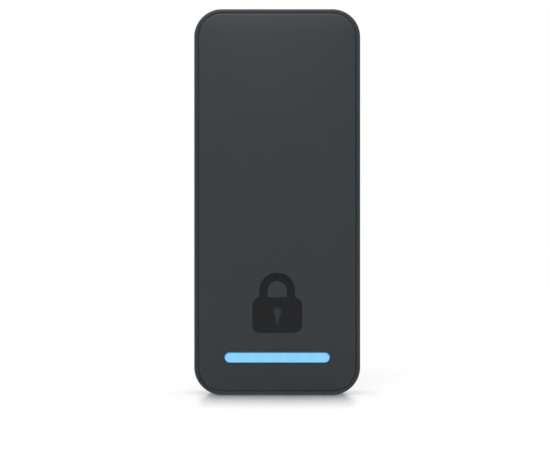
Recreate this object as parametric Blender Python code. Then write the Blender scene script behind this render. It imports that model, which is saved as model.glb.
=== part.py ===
"""A narrow wall-mounted RFID card reader: a sealed two-shell case with its boards inside, hooked on a steel
wall bracket. Metres, +Z up, the front faces -Y, and the origin is the middle of the face that it stands on.

The case tilts forward off the bracket about the edge that rests on the bracket's two hooks. A captive screw
in the bottom locks it, a sealed button in the back resets it, and a sprung plunger feels the bracket."""

import math

import bmesh
import bpy
from mathutils import Matrix, Vector

# Overall size
WIDTH = 0.0484
HEIGHT = 0.1125
CORNER_RADIUS = 0.0081
MIDDLE_Z = HEIGHT / 2

# Depths, from the front face at -Y to the wall plane at +Y
PANEL_FRONT = -0.0098
RIM_FRONT = -0.0095
PANEL_THICKNESS = 0.0013
FRONT_WALL_OUTSIDE = -0.0082
FRONT_WALL_INSIDE = -0.0068
SHOULDER = 0.0066
COVER_INSIDE = 0.0065
COVER_LIP = 0.0074
COVER_FLOOR = 0.0081
CASE_BACK = 0.0090
PLATE_FRONT = 0.0086
WALL_PLANE = 0.0098

# Distances in from the outer side of the case
RIM_WIDTH = 0.00115
PANEL_INSET = 0.0015
SIDE_WALL = 0.0020
RABBET_INSET = 0.0017
LEDGE_INSET = 0.0036
COVER_INSET = 0.0020
COVER_FLOOR_INSET = 0.0039
RECESS_INSET = 0.0046
PLATE_INSET = 0.0052
RIM_EDGE_RADIUS = 0.0006
BACK_EDGE_RADIUS = 0.0015
LEDGE_THICKNESS = 0.0014
LEDGE_SLOPE = 0.0012
GASKET_SPAN = (0.0068, 0.0072)
PANEL_EDGE = 0.00025
PANEL_EDGE_STEP = 0.000075

# GAP keeps neighbours apart, TOUCH is the same where one piece rests on another, SOLDER_GAP is under a chip
GAP = 0.0003
TOUCH = 0.0001
SOLDER_GAP = 0.00015
CHAMFER = 0.0002
OVERLAP = 0.0005

# How finely round shapes are divided: fine enough to look round, coarse enough to keep the model light
CORNER_STEPS = 7
SMALL_CORNER_STEPS = 3
WINDOW_CORNER_STEPS = 5
COIL_CORNER_STEPS = 4
EDGE_STEPS = 4
PILOT_SIDES = 12
BOSS_SIDES = 16
TURNED_SIDES = 20
ROD_SIDES = 24
SHACKLE_STEPS = 12
DRIVE_STEPS_PER_LOBE = 4
SPRING_STEPS_PER_TURN = 14
SMOOTH_ANGLE = math.radians(35)

# Light bar
BAR_Z = 0.0109
BAR_LENGTH = 0.0308
BAR_HEIGHT = 0.0031
BAR_FRONT = -0.0097
BAR_CLEARANCE = 0.00015
FLANGE_BACK = -0.0053
FLANGE_MARGIN = 0.0016

# Padlock symbol let into the front panel
SYMBOL_Z = 0.0269
SYMBOL_HEIGHT = 0.0172
SYMBOL_BODY_WIDTH = 0.0142
SYMBOL_BODY_HEIGHT = 0.0100
SYMBOL_BODY_RADIUS = 0.0022
SHACKLE_RADIUS = 0.0040
SHACKLE_THICKNESS = 0.0021
SYMBOL_DEPTH = 0.00045
SYMBOL_CLEARANCE = 0.00012
KEYHOLE_PLACE = 0.60
KEYHOLE_RADIUS = 0.0014
KEYHOLE_SLOT_WIDTH = 0.0013
KEYHOLE_SLOT_LENGTH = 0.0036

# Cover screws, in bosses that stand on the inside of the front wall
COVER_SCREW_X = 0.0170
COVER_SCREW_ROWS = (0.0175, 0.0390, 0.1015)
COVER_BOSS_RADIUS = 0.0025
COVER_BOSS_TOP = 0.0049
COVER_SCREW_SEAT = 0.0067
COVER_SEAT_BOSS_RADIUS = 0.0027
COVER_SEAT_RADIUS = 0.0022
COVER_SHANK_HOLE_RADIUS = 0.0013
COVER_PILOT_RADIUS = 0.00115
COVER_PILOT_FOOT = -0.0050
COVER_HEAD_RADIUS = 0.0019
COVER_HEAD_HEIGHT = 0.0012
COVER_SHANK_RADIUS = 0.0010
COVER_SHANK_TIP = -0.0046

# Vent membrane and blank label on the back of the cover
VENT_PLACE = (0.0130, 0.0800)
VENT_SEAT_RADIUS = 0.0028
VENT_SEAT_DEPTH = 0.0009
VENT_HOLE_RADIUS = 0.0010
VENT_PLUG_THICKNESS = 0.0006
LABEL_HALF_SIZE = (0.0095, 0.0105)
LABEL_Z = 0.0820
LABEL_CORNER = 0.0010
LABEL_THICKNESS = 0.00015

# Boards
BOARD_HALF_WIDTH = 0.0205
BOARD_TOP = 0.0984
BOARD_CORNER = 0.0015
MAIN_BOARD_BOTTOM = 0.0500
MAIN_BOARD_FRONT = -0.0026
MAIN_BOARD_BACK = -0.0014
ANTENNA_BOARD_BOTTOM = 0.0430
ANTENNA_BOARD_FRONT = -0.0064
ANTENNA_BOARD_BACK = -0.0056
FERRITE_FRONT = -0.0051
FERRITE_BACK = -0.0048
LED_BOARD_FRONT = -0.0040
LED_BOARD_BACK = -0.0030
LED_BOARD_HALF_WIDTH = 0.0140
LED_BOARD_SPAN = (0.0060, 0.0210)
BOARD_SCREW_X = 0.0182
BOARD_SCREW_ROWS = (0.0530, 0.0956)
LED_SCREW_X = 0.0070
LED_SCREW_Z = 0.0180
SMALL_BOSS_RADIUS = 0.0018
SMALL_PILOT_RADIUS = 0.0008
SMALL_PILOT_FOOT = -0.0062
BOARD_HOLE_RADIUS = 0.0011
SMALL_HEAD_RADIUS = 0.0014
SMALL_HEAD_HEIGHT = 0.0009
SMALL_SHANK_RADIUS = 0.00065
BOARD_SHANK_LENGTH = 0.0040
LED_SHANK_LENGTH = 0.0025
FERRITE_HALF_SIZE = (0.0160, 0.0215)
FERRITE_Z = 0.0743
FERRITE_CORNER = 0.0030
LED_COUNT = 6
LED_PITCH = 0.0050
LED_SIZE = (0.0028, 0.0008, 0.0016)

# Parts on the boards: across and up on the board, and how far they stand off it
PROCESSOR = ((-0.0135, -0.0045), (0.0765, 0.0855), 0.0010)
READER_CHIP = ((-0.0120, -0.0070), (0.0700, 0.0750), 0.0009)
RF_SHIELD_CAN = ((0.0035, 0.0155), (0.0740, 0.0860), 0.0016)
TRANSFORMER = ((-0.0160, -0.0060), (0.0780, 0.0880), 0.0056)
CAPACITOR_RADIUS = 0.0031
CAPACITOR_PLACE = (-0.0110, 0.0930)
CAPACITOR_HEIGHT = 0.0056
BUZZER_RADIUS = 0.0046
BUZZER_PLACE = (0.0100, 0.0915)
BUZZER_HEIGHT = 0.0042
HEADER_HALF_WIDTH = 0.0050
HEADER_SPAN = (0.0867, 0.0893)
RIBBON_SPAN = (0.0109, 0.0139)
RIBBON_RUN = (0.0190, 0.0513)
RIBBON_HALF_THICKNESS = 0.00012
RIBBON_STAND_OFF = 0.0008
RIBBON_STEPS = 12
SOCKET_MARGIN = 0.0003
SOCKET_HEIGHT = 0.00125
SOCKET_LENGTHS = (0.0022, 0.0035)

# Antenna coil
COIL_TURNS = 4
COIL_PITCH = 0.0011
COIL_TRACE = 0.0006
COIL_HALF_WIDTH = 0.0160
COIL_HALF_HEIGHT = 0.0252
COIL_CORNER = 0.0060
COIL_THICKNESS = 0.0002
COIL_Z = 0.0707

# Network jack, sunk into a notch in the main board, with its mouth facing down
JACK_BOTTOM = 0.0505
JACK_TOP = 0.0670
JACK_HALF_WIDTH = 0.0076
JACK_FRONT = -0.0040
JACK_BACK = 0.0057
PORT_HALF_WIDTH = 0.00595
PORT_FRONT = -0.0031
PORT_BACK = 0.0036
PORT_DEPTH = 0.0130
LATCH_HALF_WIDTH = 0.0032
LATCH_BACK = 0.0050
SHIELD_THICKNESS = 0.0003
SHIELD_GAP = 0.0002

# Plug bay in the rear cover, below the jack
BAY_HALF_WIDTH = 0.0090
BAY_SPAN = (0.0230, 0.0476)
BAY_FRONT = -0.0032
POCKET_WALL = 0.0012

# Wall bracket
PLATE_THICKNESS = WALL_PLANE - PLATE_FRONT
WINDOW_HALF_WIDTH = 0.0100
WINDOW_SPAN = (0.0220, 0.0484)
WINDOW_CORNER = 0.0030
WALL_HOLE_X = 0.0145
WALL_HOLE_ROWS = (0.0170, 0.0535, 0.0900)
WALL_HOLE_RADIUS = 0.00195
HOOK_X = 0.0094
HOOK_HALF_WIDTH = 0.0030
HOOK_ARM_BOTTOM = 0.1039
HOOK_ARM_TOP = 0.1051
HOOK_LIP_TOP = 0.1069
HOOK_FRONT = 0.0046
HOOK_POCKET_FRONT = 0.0036
HOOK_SLOT_SPAN = (0.1015, 0.1054)
HOOK_POCKET_TOP = 0.1073
HOOK_POCKET_HALF_WIDTH = 0.0036
HOOK_BLANK_LENGTH = 0.0082
PIVOT = Vector((0.0, 0.0073, HOOK_SLOT_SPAN[1]))

# Lock tab on the bracket, and the captive screw that reaches it from below
TAB_HALF_WIDTH = 0.0050
TAB_BOTTOM = 0.0097
TAB_TOP = 0.0109
TAB_FRONT = -0.0002
TAB_BLANK_LENGTH = 0.0088
TAB_POCKET_SPAN = (0.0091, 0.0137)
TAB_POCKET_HALF_WIDTH = 0.0062
TAB_POCKET_FRONT = -0.0010
SCREW_Y = 0.0028
SCREW_RADIUS = 0.0015
SCREW_HEAD_RADIUS = 0.0025
SCREW_HEAD_BOTTOM = 0.0004
SCREW_HEAD_TOP = 0.0024
SCREW_TIP = 0.0093
SCREW_SEAT = 0.0060
SCREW_BOSS_TOP = 0.0076
SCREW_BOSS_WALLS = (0.0012, 0.0010, 0.0006)
TAB_SCREW_HOLE_RADIUS = 0.0019
TAB_HOLE_RADIUS = 0.0017
COUNTERBORE_RADIUS = 0.0028
DRIVE_DEPTH = 0.0012
DRIVE_LOBES = 6
DRIVE_RADIUS = 0.0012
DRIVE_LOBE_HEIGHT = 0.00026
WASHER_RADIUS = 0.0024
WASHER_THICKNESS = 0.0005
WASHER_HOLE_RADIUS = 0.00165
NUT_RADIUS = 0.0028
NUT_HEIGHT = 0.0016
NUT_HOLE_RADIUS = 0.00165
NUT_SEAT_GAP = 0.0002

# Reset button and tamper plunger, through the floor of the cover
SWITCH_X = 0.0130
SWITCH_Z = 0.0640
BUTTON_TIP = 0.0078
BUTTON_FOOT = 0.0032
BUTTON_RADIUS = 0.0014
BUTTON_COLLAR = (0.0050, 0.0058)
COLLAR_RADIUS = 0.0022
GUIDE_CLEARANCE = 0.0002
RESET_SWITCH_HALF_WIDTH = 0.0030
RESET_SWITCH_HEIGHT = 0.0028
RESET_STUD_RADIUS = 0.0016
RESET_STUD_HEIGHT = 0.0037
TAMPER_SWITCH_HALF_SIZE = (0.0030, 0.0025)
PLUNGER_TIP = 0.0083
PLUNGER_FOOT = 0.0007
PLUNGER_RADIUS = 0.0012
PLUNGER_COLLAR = (0.0046, 0.0052)
SPRING_RADIUS = 0.0017
SPRING_WIRE = 0.00018
SPRING_TURNS = 5

# Finishes: colour, roughness and metallic value
FINISHES = {
    "case_plastic": ((0.040, 0.045, 0.049), 0.48, 0.0),
    "panel_plastic": ((0.042, 0.048, 0.052), 0.55, 0.0),
    "symbol_black": ((0.018, 0.018, 0.020), 0.25, 0.0),
    "light_guide": ((0.25, 0.63, 0.98), 0.30, 0.0),
    "seal_rubber": ((0.020, 0.020, 0.021), 0.80, 0.0),
    "circuit_board": ((0.010, 0.055, 0.030), 0.45, 0.0),
    "copper_trace": ((0.72, 0.35, 0.16), 0.35, 1.0),
    "ferrite": ((0.050, 0.048, 0.046), 0.60, 0.0),
    "chip_black": ((0.015, 0.015, 0.016), 0.50, 0.0),
    "tinned_steel": ((0.62, 0.62, 0.60), 0.30, 1.0),
    "bracket_steel": ((0.55, 0.56, 0.57), 0.38, 1.0),
    "screw_steel": ((0.50, 0.50, 0.51), 0.30, 1.0),
    "transformer_tape": ((0.62, 0.42, 0.06), 0.45, 0.0),
    "capacitor_can": ((0.75, 0.75, 0.76), 0.35, 1.0),
    "led_white": ((0.85, 0.85, 0.78), 0.35, 0.0),
    "ribbon_film": ((0.75, 0.75, 0.72), 0.40, 0.0),
    "label_film": ((0.78, 0.78, 0.77), 0.45, 0.0),
    "button_plastic": ((0.20, 0.20, 0.21), 0.50, 0.0),
}


def clear_scene():
    for obj in list(bpy.data.objects):
        bpy.data.objects.remove(obj, do_unlink=True)


def make_material(name):
    colour, roughness, metallic = FINISHES[name]
    material = bpy.data.materials.get(name)
    if material:
        return material
    material = bpy.data.materials.new(name)
    material.use_nodes = True
    shader = material.node_tree.nodes["Principled BSDF"]
    shader.inputs["Base Color"].default_value = (*colour, 1.0)
    shader.inputs["Roughness"].default_value = roughness
    shader.inputs["Metallic"].default_value = metallic
    return material


def finish_mesh(name, bm, finish):
    """The object that holds a bmesh, with its faces outwards and its round stretches shaded smooth."""
    bmesh.ops.recalc_face_normals(bm, faces=bm.faces)
    mesh = bpy.data.meshes.new(name)
    bm.to_mesh(mesh)
    bm.free()
    mesh.shade_smooth()
    mesh.set_sharp_from_angle(angle=SMOOTH_ANGLE)
    obj = bpy.data.objects.new(name, mesh)
    bpy.context.scene.collection.objects.link(obj)
    if finish:
        mesh.materials.append(make_material(finish))
    return obj


# Outlines


def rounded_rectangle(half_width, half_height, radius, middle=(0.0, 0.0), steps=CORNER_STEPS):
    """Corner arcs joined by straight sides, as (across, up) points."""
    points = []
    for quarter, (side, end) in enumerate(((1, 1), (-1, 1), (-1, -1), (1, -1))):
        centre = (middle[0] + side * (half_width - radius), middle[1] + end * (half_height - radius))
        for step in range(steps + 1):
            angle = math.pi / 2 * (quarter + step / steps)
            points.append((centre[0] + radius * math.cos(angle), centre[1] + radius * math.sin(angle)))
    return points


def case_outline(inset):
    """The outline of the case, moved in by inset."""
    return rounded_rectangle(WIDTH / 2 - inset, HEIGHT / 2 - inset, CORNER_RADIUS - inset, (0.0, MIDDLE_Z))


def circle(radius, middle=(0.0, 0.0), sides=ROD_SIDES):
    turn = 2 * math.pi / sides
    return [
        (middle[0] + radius * math.cos(turn * i), middle[1] + radius * math.sin(turn * i))
        for i in range(sides)
    ]


def pill(length, height, middle):
    return rounded_rectangle(length / 2, height / 2, height / 2 - 1e-6, middle)


# Solids


def on_axis(axis, across, up, along):
    """A point from its place in the section and its place along the axis."""
    if axis == "X":
        return (along, across, up)
    if axis == "Y":
        return (across, along, up)
    return (across, up, along)


def lofted(name, rings, finish, axis="Y", closed=False):
    """A solid through outlines of equally many points, each (outline, place along the axis).
    A closed one is a ring, whose last outline joins its first. Any other has a flat cap at each end."""
    bm = bmesh.new()
    loops = [[bm.verts.new(on_axis(axis, *point, along)) for point in ring] for ring, along in rings]
    following = loops[1:] + loops[:1] if closed else loops[1:]
    for first, second in zip(loops, following):
        for i in range(len(first)):
            bm.faces.new((first[i - 1], first[i], second[i], second[i - 1]))
    if not closed:
        bm.faces.new(loops[0])
        bm.faces.new(loops[-1])
    return finish_mesh(name, bm, finish)


def extruded(name, outline, low, high, finish, axis="Y"):
    return lofted(name, [(outline, low), (outline, high)], finish, axis)


def block(name, x_span, y_span, z_span, finish):
    corners = [(x, z) for x, z in zip((x_span[0], x_span[1], x_span[1], x_span[0]), sorted(z_span * 2))]
    return extruded(name, corners, y_span[0], y_span[1], finish)


def rod(name, radius, middle, low, high, finish, axis="Y", sides=ROD_SIDES):
    return extruded(name, circle(radius, middle, sides), low, high, finish, axis)


def turned(name, profile, middle, finish, axis="Y", sides=TURNED_SIDES):
    """A solid of revolution: the profile is (radius, place along the axis) from one end to the other."""
    return lofted(name, [(circle(radius, middle, sides), along) for radius, along in profile], finish, axis)


def swept_arch(radius, thickness, leg, middle, steps=SHACKLE_STEPS):
    """The outline of a round arch on two straight legs that reach down by leg."""
    outer, inner = radius + thickness / 2, radius - thickness / 2
    angles = [math.pi * step / steps for step in range(steps + 1)]
    outside = [(middle[0] + outer * math.cos(a), middle[1] + outer * math.sin(a)) for a in angles]
    inside = [(middle[0] + inner * math.cos(a), middle[1] + inner * math.sin(a)) for a in reversed(angles)]
    foot = middle[1] - leg
    return [(middle[0] + outer, foot), *outside, (middle[0] - outer, foot),
            (middle[0] - inner, foot), *inside, (middle[0] + inner, foot)]


def combine(target, operation, helpers, label):
    """A Boolean of the target with a hidden collection of helper solids."""
    group = bpy.data.collections.new(f"{target.name}_{label}")
    bpy.context.scene.collection.children.link(group)
    for helper in helpers:
        bpy.context.scene.collection.objects.unlink(helper)
        group.objects.link(helper)
        helper.hide_render = True
        helper.display_type = "WIRE"
    modifier = target.modifiers.new(label, "BOOLEAN")
    modifier.operation = operation
    modifier.operand_type = "COLLECTION"
    modifier.collection = group
    modifier.solver = "EXACT"


def join(target, helpers):
    combine(target, "UNION", helpers, "joined")


def cut(target, helpers, label="cuts"):
    combine(target, "DIFFERENCE", helpers, label)


def put_origin(obj, point):
    """Moves the object's origin to a point and leaves its shape where it is."""
    obj.data.transform(Matrix.Translation(-Vector(point)))
    obj.location = point


def mirrored_places(x, rows):
    return [(side * x, z) for z in rows for side in (-1, 1)]


# Case


def make_front_housing():
    quarter = [math.pi / 2 * step / EDGE_STEPS for step in range(EDGE_STEPS + 1)]
    front_edge = [
        (RIM_EDGE_RADIUS * (1 - math.sin(a)), RIM_FRONT + RIM_EDGE_RADIUS * (1 - math.cos(a)))
        for a in quarter
    ]
    back_edge = [
        (BACK_EDGE_RADIUS * (1 - math.cos(a)), CASE_BACK - BACK_EDGE_RADIUS * (1 - math.sin(a)))
        for a in quarter
    ]
    profile = [
        (RIM_WIDTH, FRONT_WALL_OUTSIDE),
        (RIM_WIDTH, RIM_FRONT + CHAMFER),
        (RIM_WIDTH - CHAMFER, RIM_FRONT),
        *front_edge,
        *back_edge,
        (RABBET_INSET, CASE_BACK),
        (RABBET_INSET, SHOULDER),
        (LEDGE_INSET, SHOULDER),
        (LEDGE_INSET, SHOULDER - LEDGE_THICKNESS),
        (SIDE_WALL, SHOULDER - LEDGE_THICKNESS - LEDGE_SLOPE),
        (SIDE_WALL, FRONT_WALL_INSIDE),
    ]
    housing = lofted("front_housing", [(case_outline(inset), y) for inset, y in profile], "case_plastic")
    foot = FRONT_WALL_INSIDE - OVERLAP
    bosses = [
        rod("cover_boss", COVER_BOSS_RADIUS, place, foot, COVER_BOSS_TOP, None, sides=BOSS_SIDES)
        for place in mirrored_places(COVER_SCREW_X, COVER_SCREW_ROWS)
    ]
    bosses += [
        rod("board_boss", SMALL_BOSS_RADIUS, place, foot, MAIN_BOARD_FRONT - GAP, None, sides=PILOT_SIDES)
        for place in mirrored_places(BOARD_SCREW_X, BOARD_SCREW_ROWS)
    ]
    bosses += [
        rod("led_boss", SMALL_BOSS_RADIUS, place, foot, LED_BOARD_FRONT - GAP, None, sides=PILOT_SIDES)
        for place in mirrored_places(LED_SCREW_X, (LED_SCREW_Z,))
    ]
    side, front, back = (COUNTERBORE_RADIUS + wall for wall in SCREW_BOSS_WALLS)
    bosses.append(
        block("screw_boss", (-side, side), (SCREW_Y - front, SCREW_Y + back),
              (SIDE_WALL - OVERLAP, SCREW_BOSS_TOP), None)
    )
    join(housing, bosses)
    pilots = [
        rod("cover_pilot", COVER_PILOT_RADIUS, place, COVER_PILOT_FOOT, COVER_BOSS_TOP + OVERLAP, None,
            sides=PILOT_SIDES)
        for place in mirrored_places(COVER_SCREW_X, COVER_SCREW_ROWS)
    ]
    pilots += [
        rod("board_pilot", SMALL_PILOT_RADIUS, place, SMALL_PILOT_FOOT, MAIN_BOARD_FRONT, None,
            sides=PILOT_SIDES)
        for place in mirrored_places(BOARD_SCREW_X, BOARD_SCREW_ROWS)
    ]
    pilots += [
        rod("led_pilot", SMALL_PILOT_RADIUS, place, SMALL_PILOT_FOOT, LED_BOARD_FRONT, None,
            sides=PILOT_SIDES)
        for place in mirrored_places(LED_SCREW_X, (LED_SCREW_Z,))
    ]
    bar_slot = pill(BAR_LENGTH + 2 * GAP, BAR_HEIGHT + 2 * GAP, (0.0, BAR_Z))
    openings = [
        extruded("bar_slot", bar_slot, FRONT_WALL_OUTSIDE - OVERLAP, FRONT_WALL_INSIDE + OVERLAP, None),
        rod("counterbore", COUNTERBORE_RADIUS, (0.0, SCREW_Y), -OVERLAP, SCREW_SEAT, None, axis="Z"),
        rod("screw_hole", SCREW_RADIUS + GAP, (0.0, SCREW_Y), SCREW_SEAT - OVERLAP,
            SCREW_BOSS_TOP + OVERLAP, None, axis="Z"),
    ]
    cut(housing, pilots + openings)
    return housing


def symbol_shapes(grow, y_span, finish=None):
    """The padlock's body and shackle, each moved out by grow."""
    bottom = SYMBOL_Z - SYMBOL_HEIGHT / 2
    body_middle = bottom + SYMBOL_BODY_HEIGHT / 2
    arch_middle = SYMBOL_Z + SYMBOL_HEIGHT / 2 - SHACKLE_RADIUS - SHACKLE_THICKNESS / 2
    body = rounded_rectangle(SYMBOL_BODY_WIDTH / 2 + grow, SYMBOL_BODY_HEIGHT / 2 + grow,
                             SYMBOL_BODY_RADIUS + grow, (0.0, body_middle))
    leg = arch_middle - (body_middle + SYMBOL_BODY_HEIGHT / 2) + 2 * OVERLAP
    arch = swept_arch(SHACKLE_RADIUS, SHACKLE_THICKNESS + 2 * grow, leg, (0.0, arch_middle))
    return extruded("symbol_inlay", body, *y_span, finish), extruded("symbol_shackle", arch, *y_span, None)


def make_front_panel():
    profile = [
        (PANEL_INSET + PANEL_EDGE, PANEL_FRONT),
        (PANEL_INSET + PANEL_EDGE_STEP, PANEL_FRONT + PANEL_EDGE_STEP),
        (PANEL_INSET, PANEL_FRONT + PANEL_EDGE),
        (PANEL_INSET, PANEL_FRONT + PANEL_THICKNESS),
    ]
    panel = lofted("front_panel", [(case_outline(inset), y) for inset, y in profile], "panel_plastic")
    slot = pill(BAR_LENGTH + 2 * BAR_CLEARANCE, BAR_HEIGHT + 2 * BAR_CLEARANCE, (0.0, BAR_Z))
    through = (PANEL_FRONT - OVERLAP, PANEL_FRONT + PANEL_THICKNESS + OVERLAP)
    pocket = (PANEL_FRONT - OVERLAP, PANEL_FRONT + SYMBOL_DEPTH + SYMBOL_CLEARANCE)
    body, shackle = symbol_shapes(SYMBOL_CLEARANCE, pocket)
    body.name, shackle.name = "pocket_body", "pocket_shackle"
    cut(panel, [extruded("panel_slot", slot, *through, None), body, shackle])
    return panel


def make_symbol():
    span = (PANEL_FRONT, PANEL_FRONT + SYMBOL_DEPTH)
    body, shackle = symbol_shapes(0.0, span, "symbol_black")
    join(body, [shackle])
    keyhole_z = SYMBOL_Z - SYMBOL_HEIGHT / 2 + SYMBOL_BODY_HEIGHT * KEYHOLE_PLACE
    cutter_span = (span[0] - OVERLAP, span[1] + OVERLAP)
    half = KEYHOLE_SLOT_WIDTH / 2
    cut(body, [
        rod("keyhole_round", KEYHOLE_RADIUS, (0.0, keyhole_z), *cutter_span, None),
        block("keyhole_slot", (-half, half), cutter_span, (keyhole_z - KEYHOLE_SLOT_LENGTH, keyhole_z),
              None),
    ])
    return body


def make_light_bar():
    bar = pill(BAR_LENGTH, BAR_HEIGHT, (0.0, BAR_Z))
    soft_edge = pill(BAR_LENGTH - 2 * CHAMFER, BAR_HEIGHT - 2 * CHAMFER, (0.0, BAR_Z))
    flange = pill(BAR_LENGTH + 2 * FLANGE_MARGIN, BAR_HEIGHT + 2 * FLANGE_MARGIN, (0.0, BAR_Z))
    flange_front = FRONT_WALL_INSIDE + GAP
    rings = [(soft_edge, BAR_FRONT), (bar, BAR_FRONT + CHAMFER), (bar, flange_front),
             (flange, flange_front), (flange, FLANGE_BACK)]
    return lofted("light_bar", rings, "light_guide")


def make_rear_gasket():
    inner, outer = LEDGE_INSET - CHAMFER, COVER_INSET + GAP
    low, high = GASKET_SPAN
    section = [(outer, low), (outer, high), (inner, high), (inner, low)]
    rings = [(case_outline(inset), y) for inset, y in section]
    return lofted("rear_gasket", rings, "seal_rubber", closed=True)


def make_rear_cover():
    profile = [
        (COVER_FLOOR_INSET, COVER_INSIDE),
        (COVER_FLOOR_INSET, COVER_LIP),
        (COVER_INSET, COVER_LIP),
        (COVER_INSET, CASE_BACK - CHAMFER),
        (COVER_INSET + CHAMFER, CASE_BACK),
        (RECESS_INSET - CHAMFER, CASE_BACK),
        (RECESS_INSET, CASE_BACK - CHAMFER),
        (RECESS_INSET, COVER_FLOOR),
    ]
    cover = lofted("rear_cover", [(case_outline(inset), y) for inset, y in profile], "case_plastic")
    wall, base = POCKET_WALL, COVER_INSIDE + OVERLAP
    bay, tab = BAY_HALF_WIDTH, TAB_POCKET_HALF_WIDTH
    solids = [
        block("bay_box", (-bay - wall, bay + wall), (BAY_FRONT - wall, base),
              (BAY_SPAN[0] - wall, BAY_SPAN[1] + wall), None),
        block("tab_box", (-tab - wall, tab + wall), (TAB_POCKET_FRONT - wall, base),
              (TAB_POCKET_SPAN[0] - wall, TAB_POCKET_SPAN[1] + wall), None),
    ]
    past_back = COVER_FLOOR + OVERLAP
    hollows = [
        block("bay_hollow", (-bay, bay), (BAY_FRONT, past_back), BAY_SPAN, None),
        block("tab_hollow", (-tab, tab), (TAB_POCKET_FRONT, past_back), TAB_POCKET_SPAN, None),
        rod("tab_screw_hole", TAB_SCREW_HOLE_RADIUS, (0.0, SCREW_Y), TAB_POCKET_SPAN[0] - wall - OVERLAP,
            TAB_POCKET_SPAN[0] + OVERLAP, None, axis="Z"),
        block("port_opening", (-PORT_HALF_WIDTH - GAP, PORT_HALF_WIDTH + GAP),
              (BAY_FRONT, LATCH_BACK + GAP), (BAY_SPAN[1] - OVERLAP, BAY_SPAN[1] + wall + OVERLAP), None),
        rod("button_hole", BUTTON_RADIUS + GUIDE_CLEARANCE, (SWITCH_X, SWITCH_Z), COVER_INSIDE - OVERLAP,
            past_back, None),
        rod("plunger_hole", PLUNGER_RADIUS + GUIDE_CLEARANCE, (-SWITCH_X, SWITCH_Z), COVER_INSIDE - OVERLAP,
            past_back, None),
        rod("vent_seat", VENT_SEAT_RADIUS, VENT_PLACE, COVER_FLOOR - VENT_SEAT_DEPTH, past_back, None),
        rod("vent_hole", VENT_HOLE_RADIUS, VENT_PLACE, COVER_INSIDE - OVERLAP, past_back, None,
            sides=PILOT_SIDES),
    ]
    for x in (-HOOK_X, HOOK_X):
        half = HOOK_POCKET_HALF_WIDTH
        solids.append(
            block("hook_box", (x - half - wall, x + half + wall), (HOOK_POCKET_FRONT - wall, base),
                  (HOOK_SLOT_SPAN[0] - wall, HOOK_POCKET_TOP + wall - CHAMFER), None)
        )
        hollows.append(
            block("hook_hollow", (x - half, x + half), (HOOK_POCKET_FRONT, COVER_INSIDE),
                  (HOOK_SLOT_SPAN[0], HOOK_POCKET_TOP), None)
        )
        hollows.append(
            block("hook_slot", (x - half, x + half), (COVER_INSIDE - OVERLAP, past_back),
                  HOOK_SLOT_SPAN, None)
        )
    for place in mirrored_places(COVER_SCREW_X, COVER_SCREW_ROWS):
        solids.append(rod("seat_boss", COVER_SEAT_BOSS_RADIUS, place, COVER_BOSS_TOP + GAP, base, None,
                          sides=BOSS_SIDES))
        hollows.append(rod("head_seat", COVER_SEAT_RADIUS, place, COVER_SCREW_SEAT, past_back, None,
                           sides=TURNED_SIDES))
        hollows.append(rod("shank_hole", COVER_SHANK_HOLE_RADIUS, place, COVER_BOSS_TOP,
                           COVER_SCREW_SEAT + OVERLAP, None, sides=PILOT_SIDES))
    join(cover, solids)
    cut(cover, hollows)
    return cover


def make_cover_fittings():
    seat = COVER_FLOOR - VENT_SEAT_DEPTH + CHAMFER
    vent = rod("vent_plug", VENT_SEAT_RADIUS - GAP, VENT_PLACE, seat, seat + VENT_PLUG_THICKNESS,
               "seal_rubber")
    outline = rounded_rectangle(*LABEL_HALF_SIZE, LABEL_CORNER, (0.0, LABEL_Z), SMALL_CORNER_STEPS)
    label = extruded("rating_label", outline, COVER_FLOOR + TOUCH, COVER_FLOOR + TOUCH + LABEL_THICKNESS,
                     "label_film")
    return [vent, label]


# Boards and what is on them


def make_board(name, half_width, z_span, y_span, holes, notches=()):
    middle = (0.0, sum(z_span) / 2)
    half_height = (z_span[1] - z_span[0]) / 2
    outline = rounded_rectangle(half_width, half_height, BOARD_CORNER, middle, SMALL_CORNER_STEPS)
    board = extruded(name, outline, *y_span, "circuit_board")
    through = (y_span[0] - OVERLAP, y_span[1] + OVERLAP)
    cutters = [rod("board_hole", radius, place, *through, None, sides=BOSS_SIDES) for radius, place in holes]
    cutters += [block("board_notch", x_span, through, span, None) for x_span, span in notches]
    cut(board, cutters)
    return board


def make_antenna():
    corners = mirrored_places(BOARD_SCREW_X, BOARD_SCREW_ROWS)
    board = make_board("antenna_board", BOARD_HALF_WIDTH, (ANTENNA_BOARD_BOTTOM, BOARD_TOP),
                       (ANTENNA_BOARD_FRONT, ANTENNA_BOARD_BACK),
                       [(SMALL_BOSS_RADIUS + GAP, place) for place in corners])
    outline = rounded_rectangle(*FERRITE_HALF_SIZE, FERRITE_CORNER, (0.0, FERRITE_Z), SMALL_CORNER_STEPS)
    ferrite = extruded("ferrite_sheet", outline, FERRITE_FRONT, FERRITE_BACK, "ferrite")
    half, margin = HEADER_HALF_WIDTH, OVERLAP
    cut(ferrite, [block("header_slot", (-half - margin, half + margin),
                        (FERRITE_FRONT - OVERLAP, FERRITE_BACK + OVERLAP),
                        (HEADER_SPAN[0] - margin, HEADER_SPAN[1] + margin), None)])
    header = block("antenna_header", (-half, half), (ANTENNA_BOARD_BACK + TOUCH, MAIN_BOARD_FRONT - TOUCH),
                   HEADER_SPAN, "chip_black")
    return [board, make_coil(), ferrite, header]


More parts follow.
